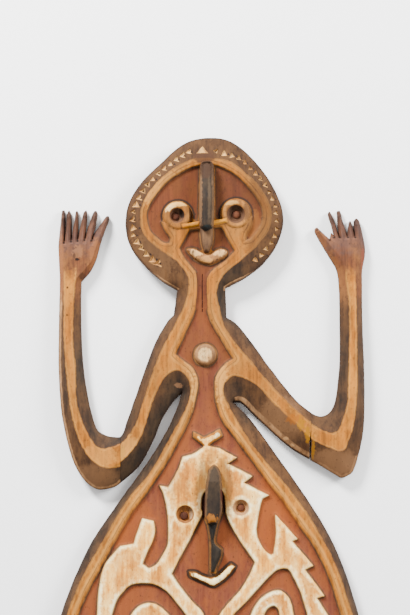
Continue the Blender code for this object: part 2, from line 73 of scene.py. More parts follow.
def curve_points(knots, step):
    """Points a step apart on a smooth curve through the knots."""
    knots = [Vector(knot) for knot in knots]
    points = []
    for i in range(len(knots) - 1):
        start, end = knots[i], knots[i + 1]
        before = knots[i - 1] if i > 0 else start
        after = knots[i + 2] if i + 2 < len(knots) else end
        chord = (end - start).length
        leave = (end - before) * (chord / ((start - before).length + chord) / 3)
        arrive = (after - start) * (chord / ((after - end).length + chord) / 3)
        count = max(2, round(chord / step) + 1)
        points += interpolate_bezier(start, start + leave, end - arrive, end, count)[:-1]
    return points + [knots[-1]]


def drawn(stretches, step=STROKE, waver=0.5):
    """A closed line as a hand cuts it. A list of knots is one curve, and a tuple has straight sides."""
    if len(stretches) == 1 and isinstance(stretches[0], list):
        ring = stretches[0]
        line = curve_points(ring[-2:] + ring + ring[:2], step)
        seam = Vector(ring[0])
        passes = [i for i, point in enumerate(line) if (point - seam).length < 1e-4]
        line = line[passes[0]:passes[1] + 1]
    else:
        line = []
        for stretch in stretches:
            if isinstance(stretch, list):
                line += curve_points(stretch, step)
            else:
                for i in range(len(stretch) - 1):
                    line += curve_points(stretch[i:i + 2], step)
    loop = []
    for point in line:
        sway, tremble = (
            Vector([uneven(point.x / length, point.y / length, layer) for layer in layers])
            for length, layers in ((SWAY_LENGTH, (3.7, 11.7)), (TREMBLE_LENGTH, (8.1, 16.1))))
        moved = point + (sway + tremble * TREMBLE_SHARE) * waver
        if not loop or (moved - loop[-1]).length > step * 0.3:
            loop.append(moved)
    while (loop[0] - loop[-1]).length < step * 0.3:
        loop.pop()
    return np.array(loop)


def circle(centre, radius, step=1.5):
    """A round line."""
    count = max(12, round(2 * math.pi * radius / step))
    turns = np.arange(count) * 2 * math.pi / count
    return np.array(centre) + radius * np.stack([np.cos(turns), np.sin(turns)], axis=1)


def depth_inside(places, loop, reach=REACH):
    """How far each place lies inside a closed line, negative outside, and never more than the reach."""
    ends = np.roll(loop, -1, axis=0)
    gap = np.full(len(places), float(reach))
    crossings = np.zeros(len(places), int)
    bunch = 24
    for first in range(0, len(loop), bunch):
        a, b = loop[first:first + bunch], ends[first:first + bunch]
        low, high = np.minimum(a, b).min(axis=0), np.maximum(a, b).max(axis=0)
        near = np.nonzero(np.all((places > low - reach) & (places < high + reach), axis=1))[0]
        if len(near):
            offset = places[near][:, None] - a
            run = b - a
            along = np.clip((offset * run).sum(2) / (run * run).sum(1), 0, 1)
            distance = np.linalg.norm(offset - along[..., None] * run, axis=2).min(1)
            gap[near] = np.minimum(gap[near], distance)
        level = (places[:, 1] >= low[1]) & (places[:, 1] < high[1]) & (places[:, 0] < high[0])
        level = np.nonzero(level)[0]
        if len(level):
            x, y = places[level, 0, None], places[level, 1, None]
            spans = (a[:, 1] > y) != (b[:, 1] > y)
            rise = np.where(b[:, 1] == a[:, 1], 1, b[:, 1] - a[:, 1])
            at = a[:, 0] + (y - a[:, 1]) * (b[:, 0] - a[:, 0]) / rise
            crossings[level] += (spans & (at > x)).sum(1)
    return np.where(crossings % 2 == 1, gap, -gap)


def rows_beside(loop, distances):
    """Points beside a line, at each distance inside it."""
    run = np.roll(loop, -1, axis=0) - np.roll(loop, 1, axis=0)
    run /= np.linalg.norm(run, axis=1)[:, None]
    area = np.sum(loop[:, 0] * np.roll(loop[:, 1], -1) - loop[:, 1] * np.roll(loop[:, 0], -1))
    inward = np.stack([-run[:, 1], run[:, 0]], axis=1) * math.copysign(1, area)
    rows = []
    for distance in distances:
        row = loop + inward * distance
        found = depth_inside(row, loop, abs(distance) + 1)
        rows.append(row[np.abs(found) > abs(distance) * 0.9 - 0.05])
    return rows


def tool_marks(places, long=38, fine=0.12):
    """The shallow facets of the adze and the ridges of the grain."""
    rough = np.empty(len(places))
    for i, (x, y) in enumerate(places):
        rough[i] = uneven(x / 13, y / long, 1.3) * 0.34 + uneven(x / 3.1, y / 24, 5.9) * fine
    return rough


# Each level down the side walls, as a share of the height there, how far it bulges and how much it shakes
WALL_LEVELS = ((0.86, 0.25, 0.22), (0.5, 0.1, 0.22), (0.12, 0, 0.1), (0, 0, 0))


def carved_piece(name, edge, lines, rows, height_at, keep, saw_lines=(), fill=4.5, extra=None):
    """A mesh of one piece: the plan cut along every line, lifted to its height, with walls and a flat back.

    Gives the object and the plan places of its face's vertices."""
    free = [row for loop, distances in rows for row in rows_beside(loop, distances)]
    low, high = edge.min(axis=0), edge.max(axis=0)
    columns = np.arange(low[0], high[0], fill)
    grid_x, grid_y = np.meshgrid(columns, np.arange(low[1], high[1], fill * 0.87))
    grid_x[1::2] += fill / 2
    filling = np.stack([grid_x.ravel(), grid_y.ravel()], axis=1)
    free = np.concatenate(free + [filling])
    is_filling = np.arange(len(free)) >= len(free) - len(filling)
    on_piece = depth_inside(free, edge) > 0.5
    free, is_filling = free[on_piece], is_filling[on_piece]
    nearest = np.min([np.abs(depth_inside(free, loop, 4)) for loop in lines], axis=0)
    free = free[nearest > np.where(is_filling, 2.2, 0.4)]
    closest = 0.8
    cells = np.unique(np.round(free / closest).astype(int), axis=0, return_index=True)[1]
    free = free[np.sort(cells)]
    if extra is not None:
        free = np.concatenate([free, extra])

    points, edges = [], []
    for loop in [edge, *lines]:
        first = len(points)
        points += [Vector(point) for point in loop]
        edges += [(first + i, first + (i + 1) % len(loop)) for i in range(len(loop))]
    for line in saw_lines:
        first = len(points)
        points += [Vector(point) for point in line]
        edges += [(first + i, first + i + 1) for i in range(len(line) - 1)]
    points += [Vector(point) for point in free]
    found = delaunay_2d_cdt(points, edges, [], 0, WELD, False)
    places = np.array([tuple(point) for point in found[0]])
    triangles = np.array([tuple(face) for face in found[2]])
    middles = places[triangles].mean(axis=1)
    triangles = triangles[(depth_inside(middles, edge, 2) > 0) & keep(middles)]
    used, triangles = np.unique(triangles, return_inverse=True)
    triangles = triangles.reshape(-1, 3)
    places = places[used]
    heights = height_at(places)

    sides = np.concatenate([triangles[:, [0, 1]], triangles[:, [1, 2]], triangles[:, [2, 0]]])
    known = set(map(tuple, sides.tolist()))
    following = {a: b for a, b in sides.tolist() if (b, a) not in known}
    rim = [max(following, key=lambda index: places[index][1])]
    while following[rim[-1]] != rim[0]:
        rim.append(following[rim[-1]])
    rim = np.array(rim)
    vertices = [np.column_stack([places, heights])]
    faces = triangles.tolist()
    above, count = rim, len(places)
    outline = places[rim]
    out = np.roll(outline, -1, axis=0) - np.roll(outline, 1, axis=0)
    out = np.stack([out[:, 1], -out[:, 0]], axis=1) / np.linalg.norm(out, axis=1)[:, None]
    for share, bulge, shake in WALL_LEVELS:
        pushed = bulge + shake * np.array([uneven(x / 9, y / 9, share * 3) for x, y in outline])
        level = outline + out * pushed[:, None]
        vertices.append(np.column_stack([level, heights[rim] * share]))
        below = np.arange(count, count + len(rim))
        count += len(rim)
        for i in range(len(rim)):
            j = (i + 1) % len(rim)
            faces.append([above[j], above[i], below[i], below[j]])
        above = below
    sole = vertices[-1][:, :2]
    grid = filling[::9]
    grid = grid[depth_inside(grid, sole, 5) > 4]
    loop = [(i, (i + 1) % len(sole)) for i in range(len(sole))]
    found = delaunay_2d_cdt([Vector(p) for p in np.concatenate([sole, grid])], loop, [], 0, 0.01, True)
    number = []
    for point, origin in zip(found[0], found[3]):
        if origin and origin[0] < len(sole):
            number.append(above[origin[0]])
        else:
            number.append(count)
            count += 1
            hollow = 0.25 + 0.25 * uneven(point.x / 25, point.y / 60, 9)
            vertices.append(np.array([[*point, hollow]]))
    below = np.array([tuple(point) for point in found[0]])
    patches = np.array([tuple(face) for face in found[2]])
    patches = patches[depth_inside(below[patches].mean(axis=1), sole, 2) > 0]
    faces += [[number[corner] for corner in reversed(face)] for face in patches]
    mesh = bpy.data.meshes.new(name)
    corners = [list(map(int, face)) for face in faces]
    mesh.from_pydata((np.concatenate(vertices) * MM).tolist(), [], corners)
    mesh.shade_smooth()
    mesh.set_sharp_from_angle(angle=SHARP_ANGLE)
    mesh.validate()
    slots = np.ones(len(mesh.polygons), int)
    slots[:len(triangles)] = 0
    mesh.polygons.foreach_set("material_index", slots)
    piece = bpy.data.objects.new(name, mesh)
    bpy.context.scene.collection.objects.link(piece)
    return piece, places


def mark(piece, name, values, beyond=-REACH):
    """Keeps a value at each vertex of the carved face, and the same one at all vertices behind it."""
    spread = np.full(len(piece.data.vertices), beyond, np.float32)
    spread[:len(values)] = values
    piece.data.attributes.new(name, "FLOAT", "POINT").data.foreach_set("value", spread)


def foot_curve(margin):
    """The lower end of the body, from right to left: two parabolas that meet in a blunt point."""
    half_width = HALF_WIDTH - margin
    reach = WIDEST_Y - FOOT_Y - 1.4 * margin
    shares = [step / 9 for step in range(10)]
    right = [(half_width * (1 - share * share), WIDEST_Y - reach * share) for share in shares]
    left = [(-x, y) for x, y in reversed(right)]
    return [right, left]


board_edge = drawn([
    [(-42, 439), (-65, 453), (-86, 472), (-105, 497), (-112, 525), (-108, 555), (-91, 584),
     (-68, 607), (-33, 637), (-2, 645), (30, 640), (61, 615), (87, 579), (101, 540), (95, 506),
     (75, 476), (51, 457), (23, 442)],
    ((23, 442), (24, 402)),
    [(24, 402), (38, 393), (59, 367), (81, 336), (115, 293), (137, 274), (149, 268)],
    ((149, 268), (200, 250), (200, 190), (149, 203)),
    [(149, 203), (137, 209.5), (110, 226), (61, 270), (44, 286), (33, 287)],
    [(33, 287), (56, 264), (86, 223), (125, 168), (159, 114), (183, 61), (202, 0), (218, -68),
     (225, WIDEST_Y)],
    *foot_curve(0),
    [(-225, WIDEST_Y), (-218, -68), (-200, -4), (-182, 46), (-158, 97), (-119, 155), (-82, 206),
     (-56, 249), (-40, 285), (-36, 300)],
    [(-36, 300), (-47, 289), (-63, 264), (-74, 237), (-94, 201), (-118, 179), (-128, 172.5)],
    ((-128, 172.5), (-180, 165), (-180, 242), (-128, 240)),
    [(-128, 240), (-118, 241), (-110, 261), (-86, 330), (-70, 371), (-55, 397)],
    ((-55, 397), (-47, 405), (-42, 439)),
], waver=0.3)
board_crest = drawn([
    [(-33, 414), (-27, 436), (-28, 456), (-38, 472), (-55, 486), (-71, 497), (-84, 509),
     (-91, 525), (-91, 544), (-84, 565), (-68, 585), (-43, 605), (-18, 617)],
    ((-18, 617), (6, 617)),
    [(6, 617), (30, 611), (52, 595), (68, 578), (80, 559), (85, 541), (81, 521), (66, 499),
     (44, 479), (21, 459), (11, 438), (13, 418)],
    [(13, 418), (24, 384), (57, 342), (93, 300), (137, 259), (153, 249)],
    ((153, 249), (190, 235), (190, 222), (153, 232)),
    [(153, 232), (137, 239), (117, 258), (87, 286), (67, 308), (49, 319), (33, 322), (22, 313),
     (20, 298), (33, 270), (63, 224), (110, 168), (142, 122), (170, 69), (193, 0), (207, -66),
     (213, WIDEST_Y)],
    *foot_curve(12),
    [(-213, WIDEST_Y), (-206, -61), (-190, 0), (-164, 62), (-140, 103), (-109, 155), (-79, 191),
     (-48, 245), (-27, 287), (-24, 306), (-30, 323), (-44, 330), (-57, 322), (-70, 301),
     (-89, 245), (-101, 224), (-119, 206), (-136, 198)],
    ((-136, 198), (-170, 190), (-170, 222), (-141, 224)),
    [(-141, 224), (-129, 226), (-118, 230), (-101, 251), (-86, 291), (-73, 333), (-56, 371),
     (-33, 414)],
], waver=0.8)
red_fields = [drawn(shape, waver=0.7) for shape in (
    [((9, 306), (-15, 306)),
     [(-15, 306), (-18, 290), (-27, 263), (-51, 216), (-77, 175), (-101, 142), (-124, 104),
      (-145, 65), (-163, 32), (-176, 0), (-192, -61), (-200, WIDEST_Y)],
     *[curve[::-1] for curve in foot_curve(25)[::-1]],
     [(200, WIDEST_Y), (194, -61), (179, 0), (164, 47), (146, 87), (129, 112), (102, 151),
      (87, 171), (70, 194), (52, 218), (36, 240), (21, 260), (11, 286), (9, 306)]],
    [[(-15.5, 424), (-18, 413), (-25, 396), (-45, 351)],
     [(-45, 351), (-33, 341), (-23, 333), (-17, 324), (-15, 312), (-16, 301), (-18.7, 287)],
     ((-18.7, 287), (11, 286)),
     [(11, 286), (9.6, 296), (9, 310), (11, 322), (22, 336), (34, 345)],
     [(34, 345), (9, 387), (0, 407), (-2.5, 424)],
     ((-2.5, 424), (-15.5, 424))],
    [[(-18, 466), (-16.5, 450), (-16, 433), (-18, 413)],
     ((-18, 413), (-1, 413)),
     [(-1, 413), (-2, 433), (-1.5, 450), (1, 466)],
     ((1, 466), (-18, 466))],
    [((-26, 520), (-40, 494)),
     [(-40, 494), (-34, 482), (-20, 465), (-12, 452)],
     ((-12, 452), (-4, 452)),
     [(-4, 452), (5, 463), (24, 478), (36, 491)],
     ((36, 491), (18, 524), (-26, 520))],
    [[(-6, 609), (-25, 604), (-42, 595), (-59, 582), (-75, 563), (-83, 546), (-84, 533),
      (-79, 518), (-69, 507), (-60, 501), (-52, 501)],
     [(-52, 501), (-51, 509), (-57, 518), (-63, 530)],
     ((-63, 530), (-30, 524), (-6, 529), (-6, 609))],
    [[(1, 610), (22, 603), (40, 592), (56, 576), (68, 560), (74, 544), (73, 529), (66, 516),
      (57, 506), (49, 504)],
     [(49, 504), (51, 513), (57, 524), (59, 537)],
     ((59, 537), (26, 532), (1, 526), (1, 610))],
)]
white_figures = [drawn(shape, waver=0.5) for shape in (
    [[(-5, 227), (-20, 217), (-34, 213)],
     [(-34, 213), (-40, 197), (-48, 181), (-54, 172)],
     ((-54, 172), (-65, 174)),
     [(-65, 174), (-61, 166), (-57, 152), (-54, 128), (-54, 97), (-61, 82), (-69, 69), (-80, 63)],
     ((-80, 63), (-89, 69), (-87, 75)),
     [(-87, 75), (-82, 87), (-75, 101), (-72, 115), (-74, 127)],
     ((-74, 127), (-89, 130)),
     [(-89, 130), (-95, 113), (-100, 96)],
     ((-100, 96), (-118, 93)),
     [(-118, 93), (-128, 82), (-137, 71), (-143, 56), (-147, 31), (-149, 0), (-158, -60),
      (-162, -135), (-150, -215), (-118, -305), (-70, -392), (0, -480)],
     [(0, -480), (50, -418), (95, -348), (132, -275), (158, -205), (169, -147)],
     ((169, -147), (180, -141), (170, -99), (181, -95), (167, -57), (178, -52), (158, -16),
      (168, -12), (145, 24), (155, 27), (129, 62), (140, 67), (112, 100), (119, 103), (90, 135)),
     [(90, 135), (91, 114), (90, 98), (88, 83)],
     [(88, 83), (84, 81), (76, 87), (69, 97), (64, 112), (66, 131), (69, 146), (72, 157)],
     ((72, 157), (80, 161), (47, 178), (58, 187), (25, 204), (37, 212), (14, 224), (1, 227),
      (-5, 227))],
    [((-20, 245.5), (-5.5, 238.5), (15, 249.5), (18, 241.5), (1, 230), (0.5, 222), (-5.5, 222),
      (-6.5, 229), (-20, 240), (-20, 245.5))],
    [((-60, -470), (0, -535), (60, -470), (60, -484), (0, -549), (-60, -484), (-60, -470))],
)]
figure_fields = [drawn(shape, waver=0.6) for shape in (
    [[(-7, 139), (-17, 119), (-50, 56)],
     [(-50, 56), (-36, 36), (-21, 18), (-7, 2), (-2, -34), (4, -80)],
     [(4, -80), (10, -34), (15, 0), (24, 13), (40, 31), (53, 50), (63, 72)],
     [(63, 72), (40, 105), (24, 136), (21, 163), (14, 170)],
     ((14, 170), (-5, 167)),
     [(-5, 167), (-9, 159), (-10, 141), (-7, 139)]],
    [[(-130, 0), (-124, 20), (-116, 31), (-105, 41), (-90, 44), (-73, 43), (-58, 35), (-46, 23),
      (-34, 8), (-21, -12), (-14, -41), (-17, -88), (-30, -131), (-57, -158)],
     [(-57, -158), (-90, -156), (-114, -122), (-130, -68), (-134, -34), (-130, 0)]],
    [[(16, -41), (24, -12), (35, 4), (50, 19), (68, 39), (85, 57), (95, 63), (107, 63), (114, 52),
      (122, 36), (128, 19), (133, 0), (136, -34), (132, -81), (115, -126), (88, -156)],
     [(88, -156), (59, -158), (34, -131), (18, -88), (16, -41)]],
)]
white_loops = [drawn(shape, waver=0.5) for shape in (
    [[(-114, -54), (-111, -21), (-104, 0), (-95, 11), (-84, 16), (-73, 16), (-61, 9), (-51, -2),
      (-41, -23), (-38, -54), (-44, -95), (-63, -123), (-82, -120), (-103, -93)]],
    [[(43, -54), (47, -26), (57, 0), (63, 13), (74, 26), (88, 33), (99, 32), (109, 21), (114, 0),
      (117, -34), (111, -81), (91, -118), (67, -118), (49, -93)]],
)]
loop_slot = drawn([[(71, -34), (74, 0), (79, 10), (87, 14), (93, 10), (96, 0), (96, -34),
                    (91, -64), (80, -72), (72, -61)]])
slits = [drawn(shape, step=1.2, waver=0.3) for shape in (
    [((-9.2, 460), (-9.5, 430), (-9.2, 408), (-7.4, 408), (-7.3, 430), (-7.6, 460), (-9.2, 460))],
    [[(-4.5, 167), (-8, 159), (-8.8, 138), (-7.5, 130), (-5, 133), (-4.5, 157)]],
    [[(15.8, 170), (19.5, 166), (23.2, 142), (22, 137), (18.7, 148), (16, 160)]],
)]
noses = [drawn(shape, step=1.5, waver=0.3) for shape in (
    [[(-11.5, 606), (-12, 524), (-6, 518), (0, 518), (7, 524), (7.5, 606)],
     [(7.5, 606), (4, 611.5), (-2.5, 612.5), (-9, 611), (-11.5, 606)]],
    [[(-0.5, 195.5), (-3.5, 176.5), (-5, 155), (-5.5, 133.5)],
     ((-5.5, 133.5), (-1.5, 122.5), (12, 122.5)),
     [(12, 122.5), (17.5, 136), (19, 155), (18, 176.5), (15, 195.5), (7.5, 203), (-0.5, 195.5)]],
)]
nose_tip = drawn([
    [(-2, 126), (1, 110), (2.5, 93), (2.5, 58)],
    ((2.5, 58), (8, 58)),
    [(8, 58), (13, 70), (17, 79.5), (18, 89)],
    [(18, 89), (8.5, 98.5), (10, 112), (13, 126)],
    ((13, 126), (-2, 126)),
], step=1.5, waver=0.3)
nose_lobe = drawn([
    [(-12, 524), (-10, 502), (-6, 489)],
    ((-6, 489), (0.5, 489)),
    [(0.5, 489), (5.5, 502), (7, 524)],
    ((7, 524), (-12, 524)),
], step=1.5, waver=0.3)
eye_bars = [drawn([bar], step=1.5, waver=0.4) for bar in (
    ((-37, 527.5), (-24, 530), (-10.5, 532), (-10.5, 524), (-24, 522), (-35, 520.5), (-37, 527.5)),
    ((-0.5, 532), (25, 536), (26.5, 529), (0, 523.5), (-0.5, 532)),
)]
mouths = [drawn(shape, step=1.5, waver=0.8) for shape in (
    [[(-29, 492.5), (-24, 494.8), (-18.5, 494), (-10, 490), (-3, 486.8), (3, 487.2), (9, 491.5),
      (15.8, 494.3), (21.5, 493.8), (25.4, 491), (24.5, 485.5), (18.8, 480.5), (10, 475.5),
      (2.3, 472.6), (-7, 474.5), (-17, 479), (-25, 486)]],
    [[(-26.5, 59), (-18, 59), (-8.5, 54), (2.5, 51), (11.5, 54), (21, 62), (30.5, 70)],
     ((30.5, 70), (36.5, 65.5)),
     [(36.5, 65.5), (29.5, 56.5), (19.5, 47.5), (9, 40), (3.5, 40), (-9, 45.5), (-24.5, 52.5)],
     ((-24.5, 52.5), (-26.5, 59))],
)]
eye_rings = [circle((-41.5, 538.5), 20), circle((37.3, 541), 20.8)]
sockets = [circle((-42.3, 538.7), 10.2), circle((37, 540.5), 12.4)]
pupils = [circle((-45, 538), 6.2, 1), circle((37.6, 541), 6.4, 1)]
belly_sockets = [circle((-31.5, 136), 12), circle((43.5, 145), 10.5)]
belly_pupils = [circle((-33, 134), 6.2, 1.2), circle((43.5, 145), 6, 1.2)]
bosses = [circle((-4.5, 350.5), 15), circle((0, -574), 9)]


def notch(x, y, width, rise, turn=0.0):
    """A triangular chip cut with its point towards the top of the head."""
    corners = np.array([(-width / 2, -rise * 0.45), (0, rise * 0.55), (width / 2, -rise * 0.45)])
    spin = np.array([(math.cos(turn), math.sin(turn)), (-math.sin(turn), math.cos(turn))])
    return corners @ spin + (x, y)


notches = [notch(-8, 628, 17, 11)]
for knots in (
    [(-25, 626), (-43, 616), (-65, 599), (-83, 579), (-97, 556), (-102, 532), (-100, 511),
     (-90, 496), (-79, 483), (-67, 475)],
    [(11, 626), (40, 618), (57, 603), (76, 582), (87, 560), (92, 540), (91, 519), (84, 502),
     (75, 491), (64, 480)],
):
    row = np.array(curve_points(knots, 3))
    travelled = np.concatenate([[0], np.cumsum(np.linalg.norm(np.diff(row, axis=0), axis=1))])
    for distance in np.linspace(0, travelled[-1], 20):
        x, y = (np.interp(distance, travelled, row[:, axis]) for axis in (0, 1))
        aside, down, wider = (uneven(x / 5, y / 5, layer) for layer in (0.4, 5.4, 9.4))
        width = 9.2 - 0.012 * x + 4 * wider
        notches.append(notch(x + 1.5 * aside, y - 1.5 * down, width, width * 0.85 + 2 * aside, down))


def shrunk(loop):
    """A notch's outline at under half its size, about the same middle."""
    middle = loop.mean(axis=0)
    return middle + (loop - middle) * 0.45


# To the right of each notch lies a small spot, painted dark as the notch's shadow.
notch_shadows = [shrunk(loop) + (loop[2][0] - loop[1][0], -0.5) for loop in notches[1:]]


def proud(top, round_off=2.0):
    """Heights inside the outline of raised work, with a steep wall and a round shoulder."""
    wall = top - round_off
    return ((0, FLOOR - 1), (0.9, wall - 1.2), (1.6, wall), (2.6, top - round_off * 0.35), (4.5, top))


FIELD_CUT = ((-0.9, FACE), (0, FACE - 0.5), (1.1, 24.3), (2.3, 22.9), (3.4, 22.2), (4.8, FLOOR))
MOTIF_LEFT = ((-4.8, FLOOR), (-3.4, 22.2), (-2.3, 22.9), (-1.1, 24.3), (0, FACE - 0.5), (0.9, FACE))
NOSE_BAR = ((0, FLOOR - 1), (0.8, 35), (1.8, 39.5), (3.5, 42.3), (6, 43.6), (9, 44))
NOSE_TIP = ((0, FLOOR - 1), (0.8, 30), (1.8, 33), (3.5, 34.6), (6, 35))
PUPIL = ((0, SOCKET - 1), (0.8, 20.2), (2, 21.3), (4, 22))
BELLY_PUPIL = ((0, SOCKET - 1), (0.8, 20), (2, 21.6), (4, 22))
SLIT_CUT = ((0, FACE), (0.6, 21), (1.2, SLIT))
SOCKET_CUT = ((-1, 27.8), (0, 27.2), (1.2, 24), (2.4, 20.5), (3.6, SOCKET))
BELLY_SOCKET_CUT = ((-0.8, FACE), (0, 25.5), (1.2, 22.5), (2.4, 20.5), (3.6, SOCKET))
LOBE_TOP = 31
RING_TOP = 27.8
BAR_TOP = 28.4
LIP_TOP = 27
BOSS_TOP = 27.6
NOTCH_DEPTH = 3

carving = [
    *[("cut", loop, FIELD_CUT) for loop in red_fields],
    *[("leave", loop, MOTIF_LEFT) for loop in white_figures],
    *[("cut", loop, FIELD_CUT) for loop in figure_fields],
    *[("leave", loop, MOTIF_LEFT) for loop in white_loops],
    ("cut", loop_slot, FIELD_CUT),
    *[("cut", loop, SLIT_CUT) for loop in slits],
    *[("leave", loop, NOSE_BAR) for loop in noses],
    ("leave", nose_tip, NOSE_TIP),
    ("leave", nose_lobe, proud(LOBE_TOP)),
    *[("leave", loop, proud(RING_TOP)) for loop in eye_rings],
    *[("leave", loop, proud(BAR_TOP, round_off=1)) for loop in eye_bars],
    *[("cut", loop, SOCKET_CUT) for loop in sockets],
    *[("leave", loop, PUPIL) for loop in pupils],
    *[("cut", loop, BELLY_SOCKET_CUT) for loop in belly_sockets],
    *[("leave", loop, BELLY_PUPIL) for loop in belly_pupils],
    *[("leave", loop, proud(LIP_TOP, round_off=1)) for loop in mouths],
    *[("leave", loop, proud(BOSS_TOP)) for loop in bosses],
]


def blank_height(places, edge, crest, face=FACE, thin=EDGE):
    """Heights of the shaped plank: a flat face and rounded flanks that fall to the edge."""
    inside = np.maximum(depth_inside(places, edge, FAR), 0)
    beyond = np.maximum(-depth_inside(places, crest, FAR), 0)
    share = inside / np.maximum(inside + beyond, 0.05)
    return thin + (face - thin) * share ** 0.8


def board_height(places):
    """Heights of the board's carved face."""
    thin = np.interp(places[:, 1], (430, 450), (EDGE, HEAD_EDGE))
    rough = tool_marks(places)
    height = blank_height(places, board_edge, board_crest, thin=thin) + rough
    for action, loop, profile in carving:
        distances, levels = zip(*profile)
        depth = depth_inside(places, loop)
        level = np.interp(depth, distances, levels)
        if profile is NOSE_BAR:
            slope = np.interp(places[:, 1], (180, 202, 560, 612), (0, 9, 0, 11))
            level -= slope * np.clip(depth / 4, 0, 1)
        touched = depth > distances[0]
        if action == "cut":
            height[touched] = np.minimum(height, level + rough * 0.6)[touched]
        else:
            height[touched] = np.maximum(height, level + rough * 0.4)[touched]
    for loop in notches:
        width = loop[2][0] - loop[0][0]
        height -= NOTCH_DEPTH * np.clip(depth_inside(places, loop, 4) / (width * 0.25), 0, 1)
    return height


def crack_width(y):
    """How far the joint at the elbow on the viewer's right has opened, from its lower edge up."""
    return np.interp(y, (205, 234, 252), (2.0, 1.7, 0))


def on_board(places):
    """Whether a place is on the board's side of both elbow joints."""
    x, y = places.T
    right_end = RIGHT_ELBOW - SAW_GAP / 2 - crack_width(y)
    return ((x > LEFT_ELBOW + SAW_GAP / 2) & (x < right_end)) | (y < 165)


left_saw = [(LEFT_ELBOW + SAW_GAP / 2, y) for y in np.arange(160, 262, 2.0)]
right_saw = [(RIGHT_ELBOW - SAW_GAP / 2 - crack_width(y), y) for y in np.arange(196, 292, 2.0)]
rows = [(board_edge, (1.2, 3, 6)), (board_crest, (-4, -1.2, 1.2))]
for action, loop, profile in carving:
    rows.append((loop, [distance for distance, level in profile if distance]))
notch_floors = [shrunk(loop) for loop in notches] + [[loop.mean(axis=0)] for loop in notch_shadows]
notch_floors = np.concatenate(notch_floors)
lines = [board_crest, *[loop for action, loop, profile in carving], *notches, *notch_shadows]
board, places = carved_piece(
    "board", board_edge, lines, rows, board_height, on_board, (left_saw, right_saw), extra=notch_floors)
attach(board, "root")
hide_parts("board")

# The paint on the board: red earth in the fields, yellow earth on the bands, lime on the figure and
# eyes, soot on the noses, and a smoked rim and flanks, darkened with painted shade on some flanks and
# towards the edges. Painted shade and painted highlights also lie in hollows and on raised work. Each
# coat is laid by how far a point lies inside its outline, and the border wanders like a brush.


def combined(places, *steps):
    """Signed distance inside outlines joined ("add") or taken away ("drop") in order."""
    result = np.full(len(places), -REACH)
    for action, loops in steps:
        for loop in loops:
            depth = depth_inside(places, loop)
            result = np.maximum(result, depth) if action == "add" else np.minimum(result, -depth)
    return result


def weighted(places, spots):
    """A soft value at each place, from the nearest of some spots with known values."""
    spots = np.array(spots)
    gap = np.linalg.norm(places[:, None] - spots[:, :2], axis=2)
    weight = 1 / (gap + 8) ** 3
    return (weight * spots[:, 2]).sum(1) / weight.sum(1)


standing = [*noses, nose_tip, nose_lobe, *eye_bars, *mouths, *bosses]
field_depth = combined(
    places, ("add", red_fields), ("drop", white_figures), ("add", figure_fields), ("drop", white_loops),
    ("add", [loop_slot]), ("drop", [*eye_rings, *standing]))
neck = (places[:, 1] > 412) & (places[:, 1] < 462) & (field_depth > 0)
mark(board, "field", field_depth + 2.2 * neck)
figure_depth = combined(
    places, ("add", white_figures), ("drop", figure_fields), ("add", white_loops),
    ("drop", [loop_slot, *belly_sockets]))
mark(board, "figure", figure_depth - 2 * (places[:, 1] > 228))
mark(board, "crest", depth_inside(places, board_crest))
mark(board, "eye", combined(places, ("add", eye_rings), ("drop", sockets)))
mark(board, "head", np.interp(places[:, 1], (240, 310, 400, 470), (0, 0.5, 0.5, 1)), beyond=0)
for name, loops in (
    ("round_eye", eye_rings), ("bar", eye_bars), ("mouth", mouths), ("boss", bosses), ("notch", notches),
    ("notch_shadow", notch_shadows), ("nose", noses), ("tip", [nose_tip]), ("lobe", [nose_lobe]), ("socket", sockets),
    ("belly_eye", belly_sockets), ("pupil", [*pupils, *belly_pupils]), ("slit", slits),
):
    mark(board, name, combined(places, ("add", loops)))
edge_depth = depth_inside(places, board_edge, FAR)
to_crest = np.maximum(-depth_inside(places, board_crest, FAR), 0)
nearness = to_crest / (to_crest + edge_depth + 0.1)
# How dark the smoked wood lies on each part of the rim and flanks, together with painted shade: some flanks
# are darker, and the term below darkens each flank towards its outer edge.
smoke_and_shade = weighted(places, (
    (-5, 640, 0.35), (-80, 600, 0.35), (70, 610, 0.4), (-105, 540, 0.35), (98, 540, 0.35),
    (-98, 505, 0.1), (-75, 478, 0.1), (-50, 462, 0.2), (88, 495, 0.35), (60, 475, 0.55), (30, 455, 0.9),
    (-38, 425, 0.3), (20, 420, 1.3), (-60, 375, 0.4), (-90, 305, 0.35), (-112, 252, 0.6),
    (-100, 212, 0.95), (-70, 262, 0.9), (-50, 315, 0.85), (40, 385, 0.5), (80, 335, 0.0),
    (125, 278, 0.0), (62, 297, 0.45), (78, 285, -0.3), (100, 258, -0.3), (125, 230, -0.3),
    (38, 310, 0.8), (50, 268, 0.7), (90, 205, 0.15), (120, 165, 0.2), (140, 135, 0.4), (175, 70, 0.6),
    (200, 0, 0.65), (215, -80, 0.7), (-60, 235, 0.9), (-100, 170, 0.85), (-150, 90, 0.65),
    (-190, 10, 0.6), (-215, -90, 0.65), (0, -600, 0.7)))
x, y = places.T
mark(board, "smoke_and_shade", smoke_and_shade + 0.55 * (nearness - 0.5) * (y < 440), beyond=0.6)
mark(board, "edge", edge_depth, beyond=0)
under_head = (y < 466) & (y > 437) & (np.abs(x) < 110)
lip = np.where(under_head, edge_depth + np.maximum(y - 455, 0) * 0.2, REACH)
mark(board, "lip", lip, beyond=REACH)
middle_of_gap = np.interp(x, (20, 33, 58, 98, 138), (292, 287, 266, 223, 185))
under_arm = (x > 20) & (y < 300) & (y > middle_of_gap) & (y < 242 + (138 - x) * 0.6)
scar = np.where(under_arm, np.abs(edge_depth - 4.8) + np.maximum(38 - x, 0) * 0.5, REACH)
mark(board, "scar", scar, beyond=REACH)


def earth(red, green, blue):
    """A pigment from its 0-255 screen values."""
    return (*[(value / 255) ** 2.2 for value in (red, green, blue)], 1)


